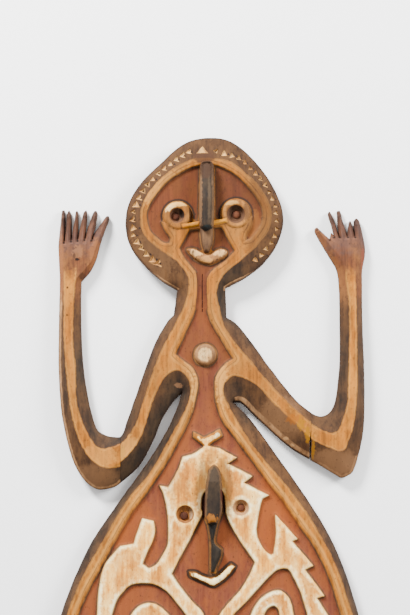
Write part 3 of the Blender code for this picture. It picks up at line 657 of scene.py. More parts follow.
def add(tree, kind, inputs=None, **settings):
    """A shader node with its settings, values and links."""
    node = tree.nodes.new("ShaderNode" + kind)
    for name, value in settings.items():
        setattr(node, name, value)
    for key, value in (inputs or {}).items():
        if isinstance(value, bpy.types.NodeSocket):
            tree.links.new(value, node.inputs[key])
        else:
            node.inputs[key].default_value = value
    return node


def new_group(name, inputs, outputs):
    """An empty node group, with its entry and exit nodes."""
    tree = bpy.data.node_groups.new(name, "ShaderNodeTree")
    for side, labels in (("INPUT", inputs), ("OUTPUT", outputs)):
        for label, kind in labels.items():
            tree.interface.new_socket(label, in_out=side, socket_type="NodeSocket" + kind)
    return tree, tree.nodes.new("NodeGroupInput").outputs, tree.nodes.new("NodeGroupOutput").inputs


def use_group(tree, group, inputs):
    """A group in a material, with its values and links."""
    return add(tree, "Group", inputs, node_tree=group).outputs


def spread(tree, value, low, high):
    """A value stretched so that low becomes 0 and high becomes 1, with soft ends."""
    return add(tree, "MapRange", {0: value, 1: low, 2: high}, interpolation_type="SMOOTHSTEP").outputs[0]


def times(tree, first, second):
    """Two values multiplied."""
    return add(tree, "Math", {0: first, 1: second}, operation="MULTIPLY").outputs[0]


def over(tree, under, coat, mask):
    """One colour laid over another where the mask is 1."""
    return add(tree, "Mix", {0: mask, 6: under, 7: coat}, data_type="RGBA").outputs[2]


grain, given, result = new_group(
    "wood grain", {"Place": "Vector"},
    {"Streak": "Float", "Blotch": "Float", "Fleck": "Float", "Pit": "Float", "Stain": "Float"})
for label, scale, detail, low, high in (
    ("Streak", (190, 9, 190), 6, 0.34, 0.68), ("Blotch", (58, 24, 58), 6, 0.38, 0.66),
    ("Fleck", (240, 130, 240), 3, 0.54, 0.7), ("Pit", (310, 210, 310), 2, 0.63, 0.71),
    ("Stain", (24, 12, 24), 6, 0.42, 0.6),
):
    stretched = add(grain, "Mapping", {0: given["Place"], 3: scale}).outputs[0]
    pattern = add(grain, "TexNoise", {"Vector": stretched, "Scale": 1, "Detail": detail, "Roughness": 0.66})
    grain.links.new(spread(grain, pattern.outputs[0], low, high), result[label])

paint, given, result = new_group(
    "rubbed paint",
    {"Main": "Color", "Worn": "Color", "Pale": "Color", "Streak": "Float", "Blotch": "Float",
     "Fleck": "Float"},
    {"Color": "Color"})
rubbed = over(paint, given["Main"], given["Worn"], times(paint, given["Streak"], 0.85))
rubbed = over(paint, rubbed, given["Pale"], times(paint, given["Blotch"], 0.7))
rubbed = over(paint, rubbed, given["Worn"], times(paint, given["Fleck"], 0.55))
paint.links.new(rubbed, result["Color"])

brushed, given, result = new_group(
    "brushed edge",
    {"Place": "Vector", "Depth": "Float", "Border": "Float", "Wander": "Float", "Softness": "Float"},
    {"Mask": "Float"})
shake = add(brushed, "TexNoise", {"Vector": given["Place"], "Scale": 160, "Detail": 3}).outputs[0]
shake = add(brushed, "Math", {0: shake, 1: -0.5}, operation="ADD").outputs[0]
shake = times(brushed, shake, given["Wander"])
moved = add(brushed, "Math", {0: given["Depth"], 1: shake}, operation="ADD").outputs[0]
lower = add(brushed, "Math", {0: given["Border"], 1: given["Softness"]}, operation="SUBTRACT").outputs[0]
upper = add(brushed, "Math", {0: given["Border"], 1: given["Softness"]}, operation="ADD").outputs[0]
brushed.links.new(spread(brushed, moved, lower, upper), result["Mask"])

stain, given, result = new_group(
    "stain",
    {"Place": "Vector", "Centre": "Vector", "Reach": "Vector", "Ragged": "Float"}, {"Mask": "Float"})
offset = add(stain, "VectorMath", {0: given["Place"], 1: given["Centre"]}, operation="SUBTRACT").outputs[0]
offset = add(stain, "VectorMath", {0: offset, 1: given["Reach"]}, operation="DIVIDE").outputs[0]
far = add(stain, "VectorMath", {0: offset}, operation="LENGTH").outputs["Value"]
rag = add(stain, "TexNoise", {"Vector": given["Place"], "Scale": 240, "Detail": 3}).outputs[0]
rag = add(stain, "Math", {0: rag, 1: -0.5}, operation="ADD").outputs[0]
far = add(stain, "Math", {0: times(stain, rag, given["Ragged"]), 1: far}, operation="ADD").outputs[0]
stain.links.new(spread(stain, far, 1.15, 0.7), result["Mask"])


class Coats:
    """A material built up coat by coat over the wood."""

    def __init__(self, name, wood):
        self.material = bpy.data.materials.new(name)
        self.material.use_nodes = True
        self.tree = self.material.node_tree
        self.shader = self.tree.nodes["Principled BSDF"]
        self.place = add(self.tree, "TexCoord").outputs["Object"]
        self.grain = use_group(self.tree, grain, {"Place": self.place})
        self.colour = self.paint(*wood)
        self.patchy = spread(self.tree, self.grain["Blotch"], -0.4, 0.8)
        self.stained = self.grain["Stain"]

    def paint(self, main, worn, pale):
        """A pigment over the grain, with its worn and its pale places."""
        inputs = {"Main": earth(*main), "Worn": earth(*worn), "Pale": earth(*pale)}
        inputs.update({name: self.grain[name] for name in ("Streak", "Blotch", "Fleck")})
        return use_group(self.tree, paint, inputs)["Color"]

    def within(self, name, border, wander, softness):
        """A mask of what lies deeper in an outline than the border."""
        depth = add(self.tree, "Attribute", attribute_name=name).outputs["Fac"]
        inputs = {"Place": self.place, "Depth": depth, "Border": border, "Wander": wander,
                  "Softness": softness}
        return use_group(self.tree, brushed, inputs)["Mask"]

    def outside(self, mask):
        """The rest of a mask."""
        return add(self.tree, "Math", {0: 1.0, 1: mask}, operation="SUBTRACT").outputs[0]

    def short_of(self, *border):
        """A mask of what lies outside a border."""
        return self.outside(self.within(*border))

    def both(self, *masks):
        """Where all of the masks meet."""
        result = masks[0]
        for mask in masks[1:]:
            result = times(self.tree, result, mask)
        return result

    def coat(self, colours, strength, *masks):
        """A coat of one colour, or of a main, worn and pale one, laid where all of the masks meet."""
        mask = self.both(*masks)
        colour = self.paint(*colours) if isinstance(colours[0], tuple) else earth(*colours)
        mask = times(self.tree, mask, strength) if strength < 1 else mask
        self.colour = over(self.tree, self.colour, colour, mask)

    def spots(self, only, *rows):
        """Stains kept to a mask, or to none: a colour, centre, reach, raggedness and strength for each."""
        for colour, (x, y), (across, along), ragged, strength in rows:
            inputs = {"Place": self.place, "Centre": (x * MM, y * MM, 0.02),
                      "Reach": (across * MM, along * MM, 0.08), "Ragged": ragged}
            mask = times(self.tree, use_group(self.tree, stain, inputs)["Mask"], strength)
            mask = times(self.tree, mask, only) if only else mask
            self.colour = over(self.tree, self.colour, earth(*colour), mask)

    def finish(self, roughness):
        """The dark pores, the fine relief of the grain and the matte surface."""
        self.coat((38, 28, 22), 0.5, self.grain["Pit"])
        height = over(self.tree, self.grain["Streak"], self.grain["Fleck"], 0.35)
        bump = add(self.tree, "Bump", {"Strength": 0.25, "Distance": 0.0005, "Height": height})
        self.tree.links.new(self.colour, self.shader.inputs["Base Color"])
        self.tree.links.new(bump.outputs[0], self.shader.inputs["Normal"])
        self.shader.inputs["Roughness"].default_value = roughness
        self.shader.inputs["Specular IOR Level"].default_value = 0.12
        return self.material


RIM = ((67, 46, 30), (45, 32, 23), (87, 60, 37))
SMOKED_AND_SHADED = ((43, 35, 29), (29, 25, 22), (64, 49, 35))
OCHRE = ((147, 86, 24), (90, 55, 24), (173, 112, 42))
PALE_OCHRE = (198, 141, 70)
LIME = ((250, 222, 142), (232, 168, 76), (252, 242, 194))
AGED_LIME = ((230, 160, 62), (178, 106, 38), (248, 212, 130))
STAINED = ((175, 99, 29), (121, 73, 31), (202, 134, 55))
RED = ((105, 58, 40), (81, 42, 34), (121, 70, 39))
BEVEL = ((88, 62, 42), (50, 37, 28), (129, 90, 53))
SOOT = ((32, 29, 26), (23, 22, 22), (47, 40, 32))
FRESH = ((129, 92, 61), (92, 68, 48), (165, 123, 83))
BROWN = ((70, 51, 39), (46, 37, 30), (96, 72, 48))
# A dark brown for dirt and specks, and for painted shade in creases, round raised work and along edges.
SHADE_AND_DIRT = (39, 29, 25)

painted = Coats("painted wood", RIM)
# The smoked wood, darkened further with painted shade on some flanks and towards their edges.
painted.coat(SMOKED_AND_SHADED, 1, painted.within("smoke_and_shade", 0.6, 0.4, 0.4))
painted.spots(
    None,
    ((112, 80, 54), (96, 262), (32, 36), 0.4, 0.5),
    ((92, 66, 44), (-78, 482), (34, 34), 1.6, 0.5))
painted.coat(FRESH, 1, painted.short_of("lip", 2.6, 2.4, 0.6))
painted.coat(FRESH, 0.8, painted.short_of("scar", 2.8, 2.4, 0.8))
# A dark line of painted shade runs along the board's outer edge.
painted.coat(SHADE_AND_DIRT, 0.7, painted.short_of("edge", 1.5, 1.6, 1.0))
on_band = painted.within("crest", 0.0, 3.0, 0.8)
painted.coat(OCHRE, 1, on_band)
# The first pale spot is a painted highlight on the upper left of the head's band.
painted.spots(
    on_band,
    (PALE_OCHRE, (-60, 575), (34, 34), 2.0, 0.45),
    (PALE_OCHRE, (-22, 345), (10, 24), 2.4, 0.5),
    (PALE_OCHRE, (-15, 300), (8, 30), 2.4, 0.5),
    (PALE_OCHRE, (17, 318), (8, 34), 2.4, 0.5))
# Pale ochre along the band's outer edge is partly wear and partly a painted highlight.
painted.coat(PALE_OCHRE, 0.3, on_band, painted.short_of("crest", 2.2, 3.0, 1.0), painted.patchy)
painted.coat((92, 59, 31), 0.3, on_band, painted.stained)
in_head = painted.within("head", 0.5, 0.1, 0.5)
painted.coat(((92, 61, 35), (61, 42, 29), (118, 79, 42)), 0.6, on_band, in_head, painted.grain["Blotch"])
# Painted shade darkens the band on the right cheek.
painted.spots(on_band, ((66, 45, 29), (80, 535), (36, 90), 0.6, 0.6))
painted.coat(
    PALE_OCHRE, 0.35, on_band, painted.within("field", -8.0, 2.4, 1.4),
    painted.short_of("field", -3.0, 1.6, 0.8), painted.outside(in_head))
painted.coat(SHADE_AND_DIRT, 0.5, on_band, painted.short_of("crest", 1.2, 1.8, 0.9), painted.patchy)
painted.coat(
    SHADE_AND_DIRT, 0.55, painted.within("field", -4.8, 1.4, 0.5), painted.short_of("field", -3.4, 1.4, 0.5), on_band,
    painted.patchy)
on_figure = painted.within("figure", -0.3, 1.4, 0.4)
painted.coat(AGED_LIME, 1, on_figure)
painted.coat(STAINED, 0.8, painted.within("figure", 2.4, 3.4, 2.0), painted.stained)
painted.coat(LIME, 0.85, on_figure, painted.short_of("figure", 4.2, 11.0, 2.8), painted.patchy)
painted.spots(
    on_figure,
    ((92, 60, 34), (-4, 166), (15, 50), 0.7, 0.7),
    ((92, 60, 34), (19, 172), (15, 44), 0.7, 0.7),
    ((129, 81, 40), (-42, 178), (16, 26), 2.4, 0.4),
    ((129, 81, 40), (5, 216), (9, 16), 2.0, 0.5))
painted.coat(SHADE_AND_DIRT, 0.45, on_figure, painted.short_of("figure", 1.0, 1.6, 0.6), painted.patchy)
in_field = painted.within("field", 0.5, 1.2, 0.4)
painted.coat(BEVEL, 1, in_field)
# A dark line at the foot of each field's bevel is painted shade in the crease.
painted.coat(
    SHADE_AND_DIRT, 0.8, painted.within("field", 1.8, 1.2, 0.5), painted.short_of("field", 3.6, 1.8, 0.8),
    painted.patchy)
painted.coat(RED, 1, painted.within("field", 2.9, 1.8, 0.7))
painted.coat((131, 70, 32), 0.5, painted.within("field", 4.0, 3.0, 1.5), painted.stained)
painted.coat((72, 40, 32), 0.3, painted.within("field", 2.9, 3.0, 1.5), painted.grain["Blotch"])
painted.coat(
    ((86, 48, 29), (60, 34, 24), (104, 62, 32)), 0.75, painted.within("field", 2.9, 1.8, 0.7), in_head)
painted.coat((42, 26, 18), 0.3, painted.patchy, in_head, in_field)
# The first spot is painted shade on the red of the right cheek; the others are orange and brown patches in
# the red.
painted.spots(
    in_field,
    ((40, 26, 21), (38, 572), (40, 40), 0.8, 0.3),
    ((140, 70, 24), (92, 135), (34, 70), 0.8, 0.4),
    ((140, 70, 24), (-98, 112), (30, 50), 0.8, 0.3),
    ((114, 70, 31), (60, 525), (12, 22), 1.6, 0.5))
# Painted shadow darkens the red field around the eye rings.
painted.coat(SHADE_AND_DIRT, 0.8, painted.within("round_eye", -3.4, 1.2, 0.6), in_field)
on_ring = painted.within("eye", 0.4, 1.0, 0.5)
painted.coat(((128, 80, 34), (80, 54, 31), (152, 102, 50)), 1, on_ring)
painted.coat(SHADE_AND_DIRT, 0.35, on_ring, painted.short_of("eye", 1.4, 1.4, 0.7))
# On the eye rings: a painted highlight at the upper left of the left ring, painted highlights along the tops
# of both rings, painted shadow on the left ring's side towards the nose, and the right ring darker on its
# right side.
painted.spots(painted.within("eye", 1.2, 0.8, 0.5), ((222, 184, 124), (-51, 549), (9, 7), 1.8, 0.7))
painted.spots(painted.within("eye", 0.8, 0.6, 0.5), ((197, 147, 77), (-40, 554), (14, 3.4), 0.9, 0.8))
painted.spots(painted.within("round_eye", 0.4, 0.6, 0.4), ((42, 31, 25), (-24, 543), (2.4, 13), 0.7, 0.8))
painted.spots(painted.within("eye", 0.8, 0.6, 0.5), ((180, 134, 72), (28, 556), (12, 3.6), 1.2, 0.6))
painted.spots(on_ring, ((73, 51, 35), (52, 545), (5, 16), 1.2, 0.6))
painted.coat(((158, 94, 20), (110, 68, 24), (187, 129, 46)), 1, painted.within("bar", 0.4, 0.8, 0.3))
# Painted shadow rings each eye bar.
painted.coat(SHADE_AND_DIRT, 0.35, painted.within("bar", -1.6, 1.0, 0.6), painted.short_of("bar", 0.5, 0.8, 0.4))
mouth_edge = painted.both(painted.within("mouth", -3.6, 2.4, 0.8), painted.short_of("mouth", 0.6, 1.0, 0.5))
painted.coat(SHADE_AND_DIRT, 0.8, mouth_edge, painted.outside(in_head))
painted.coat(SHADE_AND_DIRT, 0.3, mouth_edge, in_head)
painted.coat(
    ((123, 81, 48), (79, 55, 39), (147, 103, 59)), 1, painted.within("mouth", 0.2, 0.8, 0.4), in_head)
painted.coat(LIME, 1, painted.within("mouth", 1.8, 3.6, 0.6), painted.outside(in_head))
on_mouth = painted.both(painted.within("mouth", 1.2, 1.6, 0.8), in_head)
painted.spots(
    on_mouth,
    ((192, 148, 94), (-17, 488), (9.5, 5), 2.2, 0.75),
    ((192, 148, 94), (15, 488), (9.5, 5), 2.4, 0.75),
    ((172, 122, 66), (-4, 479), (9, 5), 1.6, 0.6))
painted.coat(SHADE_AND_DIRT, 0.75, painted.within("mouth", 0.5, 1.0, 0.5), painted.grain["Fleck"])
painted.coat(((116, 82, 54), (70, 50, 36), (146, 104, 66)), 1, painted.within("boss", 0.0, 1.4, 0.4))
# Painted shadow lies in the groove round each boss.
painted.coat(SHADE_AND_DIRT, 0.45, painted.within("boss", -1.8, 1.4, 0.6), painted.short_of("boss", 0.6, 1.2, 0.6))
painted.coat(((180, 130, 74), (96, 68, 44), (232, 200, 140)), 1, painted.within("boss", 5.6, 5.0, 1.4))
painted.coat((96, 66, 42), 0.8, painted.within("boss", 4.0, 2.0, 1.0), painted.grain["Fleck"])
painted.spots(None, ((62, 42, 30), (-6, 618), (15, 11), 0.8, 0.85))
# Dark specks lie round each notch, and painted shadow fills the small spot to its right.
painted.coat(SHADE_AND_DIRT, 0.6, painted.within("notch", -1.6, 2.4, 0.8), painted.grain["Fleck"])
painted.coat(((166, 116, 62), (104, 71, 44), (205, 162, 100)), 1, painted.within("notch", 0.5, 2.2, 0.4))
painted.coat(SHADE_AND_DIRT, 1, painted.within("notch_shadow", 0.2, 0.5, 0.2))
painted.coat(((77, 57, 42), (53, 39, 31), (103, 75, 50)), 1, painted.within("lobe", 0.0, 1.0, 0.4))
painted.coat(BROWN, 1, painted.within("nose", 0.0, 1.0, 0.4))
painted.coat(SOOT, 0.85, painted.within("nose", 3.0, 3.6, 1.4))
on_nose = painted.within("nose", 0.0, 0.6, 0.4)
# The first spot is a painted highlight down the left flank of the head's nose.
painted.spots(
    on_nose,
    ((108, 79, 53), (-11, 560), (3.0, 46), 1.2, 0.55),
    ((75, 61, 46), (1, 565), (2.2, 38), 1.8, 0.45),
    ((55, 39, 29), (-2, 604), (13, 18), 0.9, 0.8),
    ((31, 36, 36), (-1.5, 519), (9, 5.5), 0.6, 0.9))
painted.coat(BROWN, 1, painted.within("tip", 0.0, 1.0, 0.4))
painted.coat(SOOT, 1, painted.within("tip", 1.2, 1.6, 0.5))
painted.spots(None, ((132, 81, 31), (3.5, 131), (8, 6), 2.4, 0.85))
painted.coat(((122, 84, 58), (84, 57, 42), (152, 105, 68)), 1, painted.within("socket", 0.0, 0.8, 0.4))
in_socket = painted.within("socket", 0.0, 0.3, 0.3)
# Both sockets are darkened inside, and the dark crescent in the left one is painted shadow on its wall.
painted.spots(
    in_socket,
    ((54, 39, 31), (37, 540.5), (17, 17), 0.4, 0.8),
    ((62, 44, 34), (-42.3, 538.7), (15, 15), 0.4, 0.7),
    ((31, 24, 21), (-35.5, 543), (4.2, 8), 0.4, 0.85))
painted.coat(((129, 81, 44), (77, 51, 35), (171, 107, 46)), 1, painted.within("belly_eye", 0.0, 0.8, 0.4))
painted.spots(
    painted.within("belly_eye", 0.4, 0.6, 0.4),
    ((162, 138, 107), (-23.5, 137), (2.6, 8), 0.8, 0.45))
painted.spots(None, ((151, 112, 77), (43.5, 145), (12, 12), 0.6, 0.8))
painted.coat(((74, 43, 31), (49, 31, 25), (100, 60, 39)), 1, painted.within("pupil", 0.6, 1.0, 0.6))
painted.coat((59, 33, 26), 1, painted.within("slit", 0.2, 0.5, 0.3))
painted.spots(
    None,
    ((128, 70, 6), (115, 264), (11, 7), 1.4, 0.6),
    ((134, 88, 0), (124.5, 258), (5.5, 9), 1.8, 0.85),
    ((128, 84, 0), (133, 244), (3.4, 12), 1.6, 0.95),
    ((55, 37, 24), (110, 240), (13, 9), 2.8, 0.3),
    ((59, 35, 20), (129, 224), (5, 10), 2.4, 0.4),
    ((149, 110, 72), (104, 238), (4, 2.5), 2.0, 0.8),
    ((149, 110, 72), (113, 229), (3, 2), 2.0, 0.8),
    ((129, 88, 28), (-115, 219), (3, 8), 1.4, 0.7),
    ((112, 80, 56), (-40, 309.5), (6, 3.6), 1.4, 0.7),
    ((40, 30, 25), (-36.5, 302), (4, 3), 0.8, 0.8))
painted.spots(on_band, (PALE_OCHRE, (-112, 226), (20, 18), 1.0, 0.3))
painted.spots(None, ((31, 24, 20), (-116, 247), (2.5, 4), 1.0, 0.8))
board.data.materials.append(painted.finish(0.78))
bare_wood = Coats("bare wood", ((70, 50, 36), (48, 35, 27), (92, 66, 44))).finish(0.85)
board.data.materials.append(bare_wood)

# The forearm on the viewer's left: a second length of the same wood, butted and glued to the elbow.
# It thins towards the fingertips, and four cuts part the fingers. An ochre band runs up its middle.

ARM_THINS = ((280, 450, 546), (26, 18, 12))


def forearm_height(places, edge, crest):
    """Heights of a forearm's face: rounded flanks beside the band, and thin fingers."""
    face = np.interp(places[:, 1], *ARM_THINS)
    rough = tool_marks(places, long=60, fine=0.16)
    return blank_height(places, edge, crest, face=face, thin=face * EDGE / FACE) + rough


left_arm_edge = drawn([
    [(-94, 201), (-118, 179), (-128, 172.5), (-149, 169.5), (-163.5, 178), (-177, 196), (-187, 221),
     (-196, 259), (-200, 288.5), (-202.5, 330.5), (-202.5, 384.5), (-201.5, 452), (-203.5, 498),
     (-202, 517), (-199, 548)],
    [(-199, 548), (-195.5, 548), (-194.5, 526), (-195.7, 506)],
    [(-195.7, 506), (-193.5, 522), (-192.3, 542), (-189.5, 548), (-186.5, 542), (-186, 508)],
    [(-186, 508), (-182, 533), (-180, 547), (-177.5, 547), (-176.8, 533), (-177.2, 509)],
    [(-177.2, 509), (-172, 534.5), (-169, 546), (-166, 548), (-165, 539), (-167.6, 510)],
    [(-167.6, 510), (-160, 535.5), (-155, 547), (-152, 547), (-151, 541), (-153.5, 526), (-158.3, 509)],
    [(-158.5, 509), (-153, 519.5), (-145, 531), (-138.5, 540), (-135.5, 540), (-135.5, 535), (-140.5, 521.5),
     (-146.5, 503.5), (-152.5, 481.5), (-160.5, 465), (-172.5, 451)],
    [(-172.5, 451), (-173, 425), (-172, 371), (-169, 330.5), (-164.5, 301), (-158, 271),
     (-150, 249.5), (-138, 242), (-128, 240), (-118, 241), (-110, 261)],
    ((-110, 261), (-94, 201)),
], step=1, waver=0.05)
left_arm_crest = drawn([
    [(-110, 215), (-119, 206), (-136, 198), (-151, 204), (-167, 222), (-177, 245), (-185, 276),
     (-191, 330), (-193, 371), (-194, 438), (-197, 470), (-198.5, 500)],
    ((-198.5, 500), (-199, 537), (-197.5, 500), (-192, 500), (-190, 539), (-190, 501),
     (-183, 502), (-179, 539), (-181, 502), (-174, 502), (-167.5, 540), (-171, 502),
     (-165, 501), (-154, 540), (-161, 500), (-156, 498), (-139, 533), (-153, 496)),
    [(-153, 496), (-158, 480), (-168, 466), (-181, 450), (-183, 425), (-184, 371), (-180, 330),
     (-177, 286), (-169, 258), (-160, 240), (-151, 228), (-141, 224), (-129, 226), (-118, 230),
     (-110, 240)],
    ((-110, 240), (-110, 215)),
], step=1, waver=0.05)
left_forearm, left_places = carved_piece(
    "left_forearm", left_arm_edge, [left_arm_crest],
    [(left_arm_edge, (1, 2.2, 4)), (left_arm_crest, (-3, -1.2, 1.2))],
    lambda places: forearm_height(places, left_arm_edge, left_arm_crest),
    lambda places: places[:, 0] < LEFT_ELBOW - SAW_GAP / 2,
    [[(LEFT_ELBOW - SAW_GAP / 2, y) for y in np.arange(172, 258, 1.5)]], fill=2.6)
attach(left_forearm, "root")
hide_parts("left_forearm")

# The forearm on the viewer's right: another length of the same wood, thinned and glued in the same way.
# Its wrist is curved and its fingers are spread.

right_arm_edge = drawn([
    ((122, 219), (122, 289)),
    [(122, 289), (137, 274), (149, 268), (158.5, 269.5), (166.5, 276.5), (172, 290), (176, 319.5),
     (178, 344), (178, 398), (177, 446.5), (173.5, 468), (162.5, 487), (145, 517.5), (144.5, 523),
     (147.5, 525)],
    ((147.5, 525), (154.5, 518), (164.5, 508.5), (166.5, 517.5), (170.5, 513.5)),
    [(170.5, 513.5), (167, 527.5), (162.5, 543), (164.5, 546.5), (168.5, 539), (178, 512.5)],
    [(178, 512.5), (175.7, 526), (174.5, 547)],
    [(174.5, 547), (178.5, 547.5), (182.5, 533), (189, 513.5)],
    [(189, 513.5), (189.7, 525), (192.3, 534), (195.3, 527), (199, 513.5)],
    [(199, 513.5), (197.6, 533), (201, 537), (204.5, 533.5), (209, 516), (212.5, 496.5), (211.5, 483),
     (208.5, 467), (208, 449.5), (208.5, 391), (210.5, 330.5), (210.5, 269.5), (208, 241.5),
     (203, 218.5), (195, 194), (187, 187.5), (179.5, 185), (173, 188.5), (149, 203), (137, 209.5),
     (122, 219)],
], step=1, waver=0.05)
right_arm_crest = drawn([
    ((125, 250), (125, 272)),
    [(125, 272), (137, 259), (153, 249), (167, 245), (174, 248), (180, 261), (186, 283),
     (188, 303), (189, 344), (190, 411), (189, 446), (182, 476), (170, 494)],
    ((170, 494), (149, 519), (172, 503), (172.5, 508), (166, 537), (175, 508), (181, 507),
     (177, 540), (184, 507), (192, 508), (192.5, 526), (194.5, 508), (202, 508), (201.5, 528),
     (204.5, 508)),
    [(204.5, 508), (206, 495), (203, 470), (199, 445), (200, 411), (200, 303), (195, 256),
     (188, 235), (183, 223), (174, 221), (164, 225), (145, 233), (137, 239), (125, 250)],
], step=1, waver=0.05)
right_forearm, right_places = carved_piece(
    "right_forearm", right_arm_edge, [right_arm_crest],
    [(right_arm_edge, (1, 2.2, 4)), (right_arm_crest, (-3, -1.2, 1.2))],
    lambda places: forearm_height(places, right_arm_edge, right_arm_crest),
    lambda places: places[:, 0] > RIGHT_ELBOW + SAW_GAP / 2,
    [[(RIGHT_ELBOW + SAW_GAP / 2, y) for y in np.arange(206, 278, 1.5)]], fill=2.6)
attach(right_forearm, "root")
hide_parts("right_forearm")

# The paint on the forearms: dark brown wood with an ochre band brushed up the middle, the flanks smoked and
# darkened with painted shade. The fingertips are darkened, painted shade darkens the clefts between the
# fingers and lies along the outer edges, and the edges are rubbed down to fresh wood.

arm_bands = [drawn(shape, waver=0.5) for shape in (
    [[(-110, 232), (-119, 231), (-129, 227), (-141, 224), (-151, 228), (-160, 240), (-169, 258),
      (-177, 286), (-179, 330), (-182.5, 371), (-181, 438), (-178, 462), (-180, 500)],
     ((-180, 500), (-196, 500)),
     [(-196, 500), (-195.5, 438), (-195, 371), (-192, 330), (-185, 276), (-177, 245), (-167, 222),
      (-151, 204), (-136, 198), (-119, 200), (-110, 202)],
     ((-110, 202), (-110, 232))],
    [[(130, 262), (138, 257), (153, 249), (167, 245), (174, 248), (180, 261), (186, 283),
      (188, 303), (189, 344), (190, 411), (186, 452), (184, 500)],
     ((184, 500), (200, 500)),
     [(200, 500), (199, 452), (200, 411), (200, 344), (200, 303), (195, 256), (188, 235), (183, 223),
      (174, 221), (164, 225), (145, 233), (138, 237), (130, 242)],
     ((130, 242), (130, 262))],
)]
HAND = ((82, 57, 48), (56, 42, 38), (104, 68, 48))
valleys = ((-196, 503), (-186.5, 505), (-177.5, 506), (-168, 507), (-158.5, 506), (147.5, 521),
           (152, 519), (164.5, 507), (170.5, 511), (178, 511), (189, 511), (199, 511))
for arm, band, edge, arm_places, spots in (
    (left_forearm, arm_bands[0], left_arm_edge, left_places, (
        (-122, 245, 0.85), (-122, 180, 0.85), (-150, 245, 0.75), (-150, 185, 0.05), (-165, 275, 0.6),
        (-175, 215, 0.0), (-190, 250, 0.25), (-172, 330, 0.95), (-198, 330, 0.55),
        (-176, 430, 0.3), (-199, 430, 0.2))),
    (right_forearm, arm_bands[1], right_arm_edge, right_places, (
        (142, 268, 0.5), (165, 262, 0.5), (174, 290, 0.65), (145, 220, 0.3), (175, 200, 0.15),
        (200, 220, 0.4), (181, 340, 0.7), (206, 330, 0.6), (183, 430, 0.3), (204, 430, 0.35))),
):
    mark(arm, "band", depth_inside(arm_places, band))
    x, y = arm_places.T
    lip = depth_inside(arm_places, edge)
    rubbed_to = 470 if arm is left_forearm else 215
    rubbed = (y < rubbed_to) & (np.abs(x) > np.interp(y, (170, 230, 300), (100, 180, 192)))
    mark(arm, "scar", np.where(rubbed, lip, REACH), beyond=REACH)
    mark(arm, "edge", lip, beyond=0)
    mark(arm, "smoke_and_shade", weighted(arm_places, spots), beyond=0.5)
    mark(arm, "hand", (y - 452) / 10, beyond=-1)
    mark(arm, "tips", (y - 500) / 40, beyond=0)
    mark(arm, "valley", -np.min([np.hypot(x - a, y - b) for a, b in valleys], axis=0), beyond=-REACH)
arms = Coats("forearm wood", RIM)
# The forearms' smoked flanks, darkened further with painted shade.
arms.coat(SMOKED_AND_SHADED, 1, arms.within("smoke_and_shade", 0.6, 0.5, 0.4))
arms.spots(None, ((104, 74, 50), (-154, 186), (36, 18), 0.4, 0.5))
arms.coat(FRESH, 0.85, arms.short_of("scar", 3.6, 2.6, 0.8))
# A dark line of painted shade runs along the forearms' outer edges.
arms.coat(SHADE_AND_DIRT, 0.55, arms.short_of("edge", 1.2, 1.2, 1.0))
arms.coat(((94, 55, 34), (62, 40, 29), (118, 76, 42)), 1, arms.within("hand", -2.4, 3.0, 2.0))
arms.coat(HAND, 1, arms.within("hand", 3.8, 4.0, 1.4))
arms.spots(
    None,
    ((118, 73, 42), (-152, 480), (10, 30), 1.4, 0.7),
    ((118, 73, 42), (-200, 470), (5, 40), 1.4, 0.5),
    ((112, 70, 42), (152, 510), (9, 26), 0.8, 0.6),
    ((110, 55, 40), (209, 480), (3, 18), 1.2, 0.5))
on_arm_band = arms.both(arms.within("band", 0.0, 3.4, 0.8), arms.short_of("hand", 1.0, 3.0, 1.2))
arms.coat(OCHRE, 1, on_arm_band)
arms.coat(PALE_OCHRE, 0.35, on_arm_band, arms.short_of("band", 2.0, 3.0, 1.0), arms.patchy)
arms.coat((92, 59, 31), 0.3, on_arm_band, arms.stained)
arms.spots(on_arm_band, (PALE_OCHRE, (-148, 214), (26, 16), 1.0, 0.2))
arms.coat(SHADE_AND_DIRT, 0.5, on_arm_band, arms.short_of("band", 1.0, 1.6, 0.8), arms.patchy)
arms.coat(((46, 35, 30), (33, 26, 23), (61, 44, 37)), 0.8, arms.within("tips", 0.75, 1.2, 0.4))
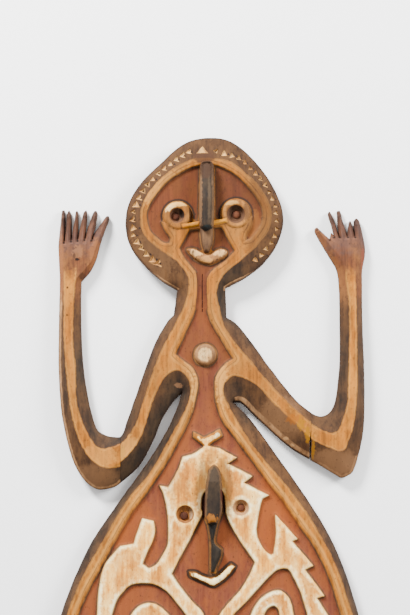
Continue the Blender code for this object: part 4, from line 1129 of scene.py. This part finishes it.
# Painted shade darkens the clefts between the fingers.
arms.coat((22, 17, 15), 0.9, arms.within("valley", -1.6, 1.0, 0.8))
arms.spots(
    None,
    ((118, 79, 53), (-177, 490), (7, 9), 2.4, 0.6),
    ((96, 64, 42), (-179, 486), (3.6, 5), 1.2, 0.8),
    ((34, 24, 20), (-181.5, 485.5), (1.8, 4), 1.0, 0.6),
    ((24, 17, 15), (-177.5, 480.5), (3.6, 2.2), 1.0, 0.95),
    ((26, 19, 17), (-190.5, 442), (1.4, 1.8), 1.0, 0.9),
    ((26, 19, 17), (-191, 404.5), (1.2, 1.6), 1.0, 0.9),
    ((42, 31, 24), (-171, 458), (5, 5), 0.8, 0.5),
    ((110, 78, 53), (168, 205), (38, 20), 0.5, 0.65),
    ((128, 84, 0), (141, 226), (2.2, 14), 2.6, 0.75))
arms.finish(0.75)
for arm in (left_forearm, right_forearm):
    arm.data.materials.append(arms.material)
    arm.data.materials.append(bare_wood)

# The floor the board lies on: one flat, pale sheet with a dull surface. It is only there for the picture,
# so it is kept out of the part.

floor = bpy.data.objects.new("floor", bpy.data.meshes.new("floor"))
floor.data.from_pydata([(-6, -6, 0), (6, -6, 0), (6, 6, 0), (-6, 6, 0)], [], [(0, 1, 2, 3)])
bpy.context.scene.collection.objects.link(floor)
pale = bpy.data.materials.new("floor")
pale.use_nodes = True
pale.node_tree.nodes["Principled BSDF"].inputs["Base Color"].default_value = (0.95, 0.95, 0.95, 1)
pale.node_tree.nodes["Principled BSDF"].inputs["Roughness"].default_value = 0.9
floor.data.materials.append(pale)

# Two large soft lamps stand above the head, one on each side, and the nearer one on the left is stronger.
# An even white light from the room fills the shadows.

for name, place, size, power in (
    ("left lamp", (-1.3, 2.3, 1.4), 0.7, 300),
    ("right lamp", (2.2, 1.5, 1.3), 1.0, 180),
):
    lamp = bpy.data.objects.new(name, bpy.data.lights.new(name, "AREA"))
    lamp.data.size = size
    lamp.data.energy = power
    lamp.location = place
    lamp.rotation_euler = (Vector((0, 0.3, 0)) - lamp.location).to_track_quat("-Z", "Y").to_euler()
    bpy.context.scene.collection.objects.link(lamp)
world = bpy.data.worlds.new("room")
world.use_nodes = True
world.node_tree.nodes["Background"].inputs["Color"].default_value = (1, 1, 1, 1)
world.node_tree.nodes["Background"].inputs["Strength"].default_value = 1.03
bpy.context.scene.world = world

# The camera looks straight down on the lying board from above its chest, with a long lens that keeps the
# outline free of slant. The picture is cut across the body.

eye = bpy.data.objects.new("camera", bpy.data.cameras.new("camera"))
eye.data.sensor_width = 36
eye.data.lens = 116.5
eye.data.shift_y = 0.17
eye.location = (-0.0047, 0.18, 2.7)
eye.rotation_euler = (math.radians(2), 0, 0)
bpy.context.scene.collection.objects.link(eye)
bpy.context.scene.camera = eye
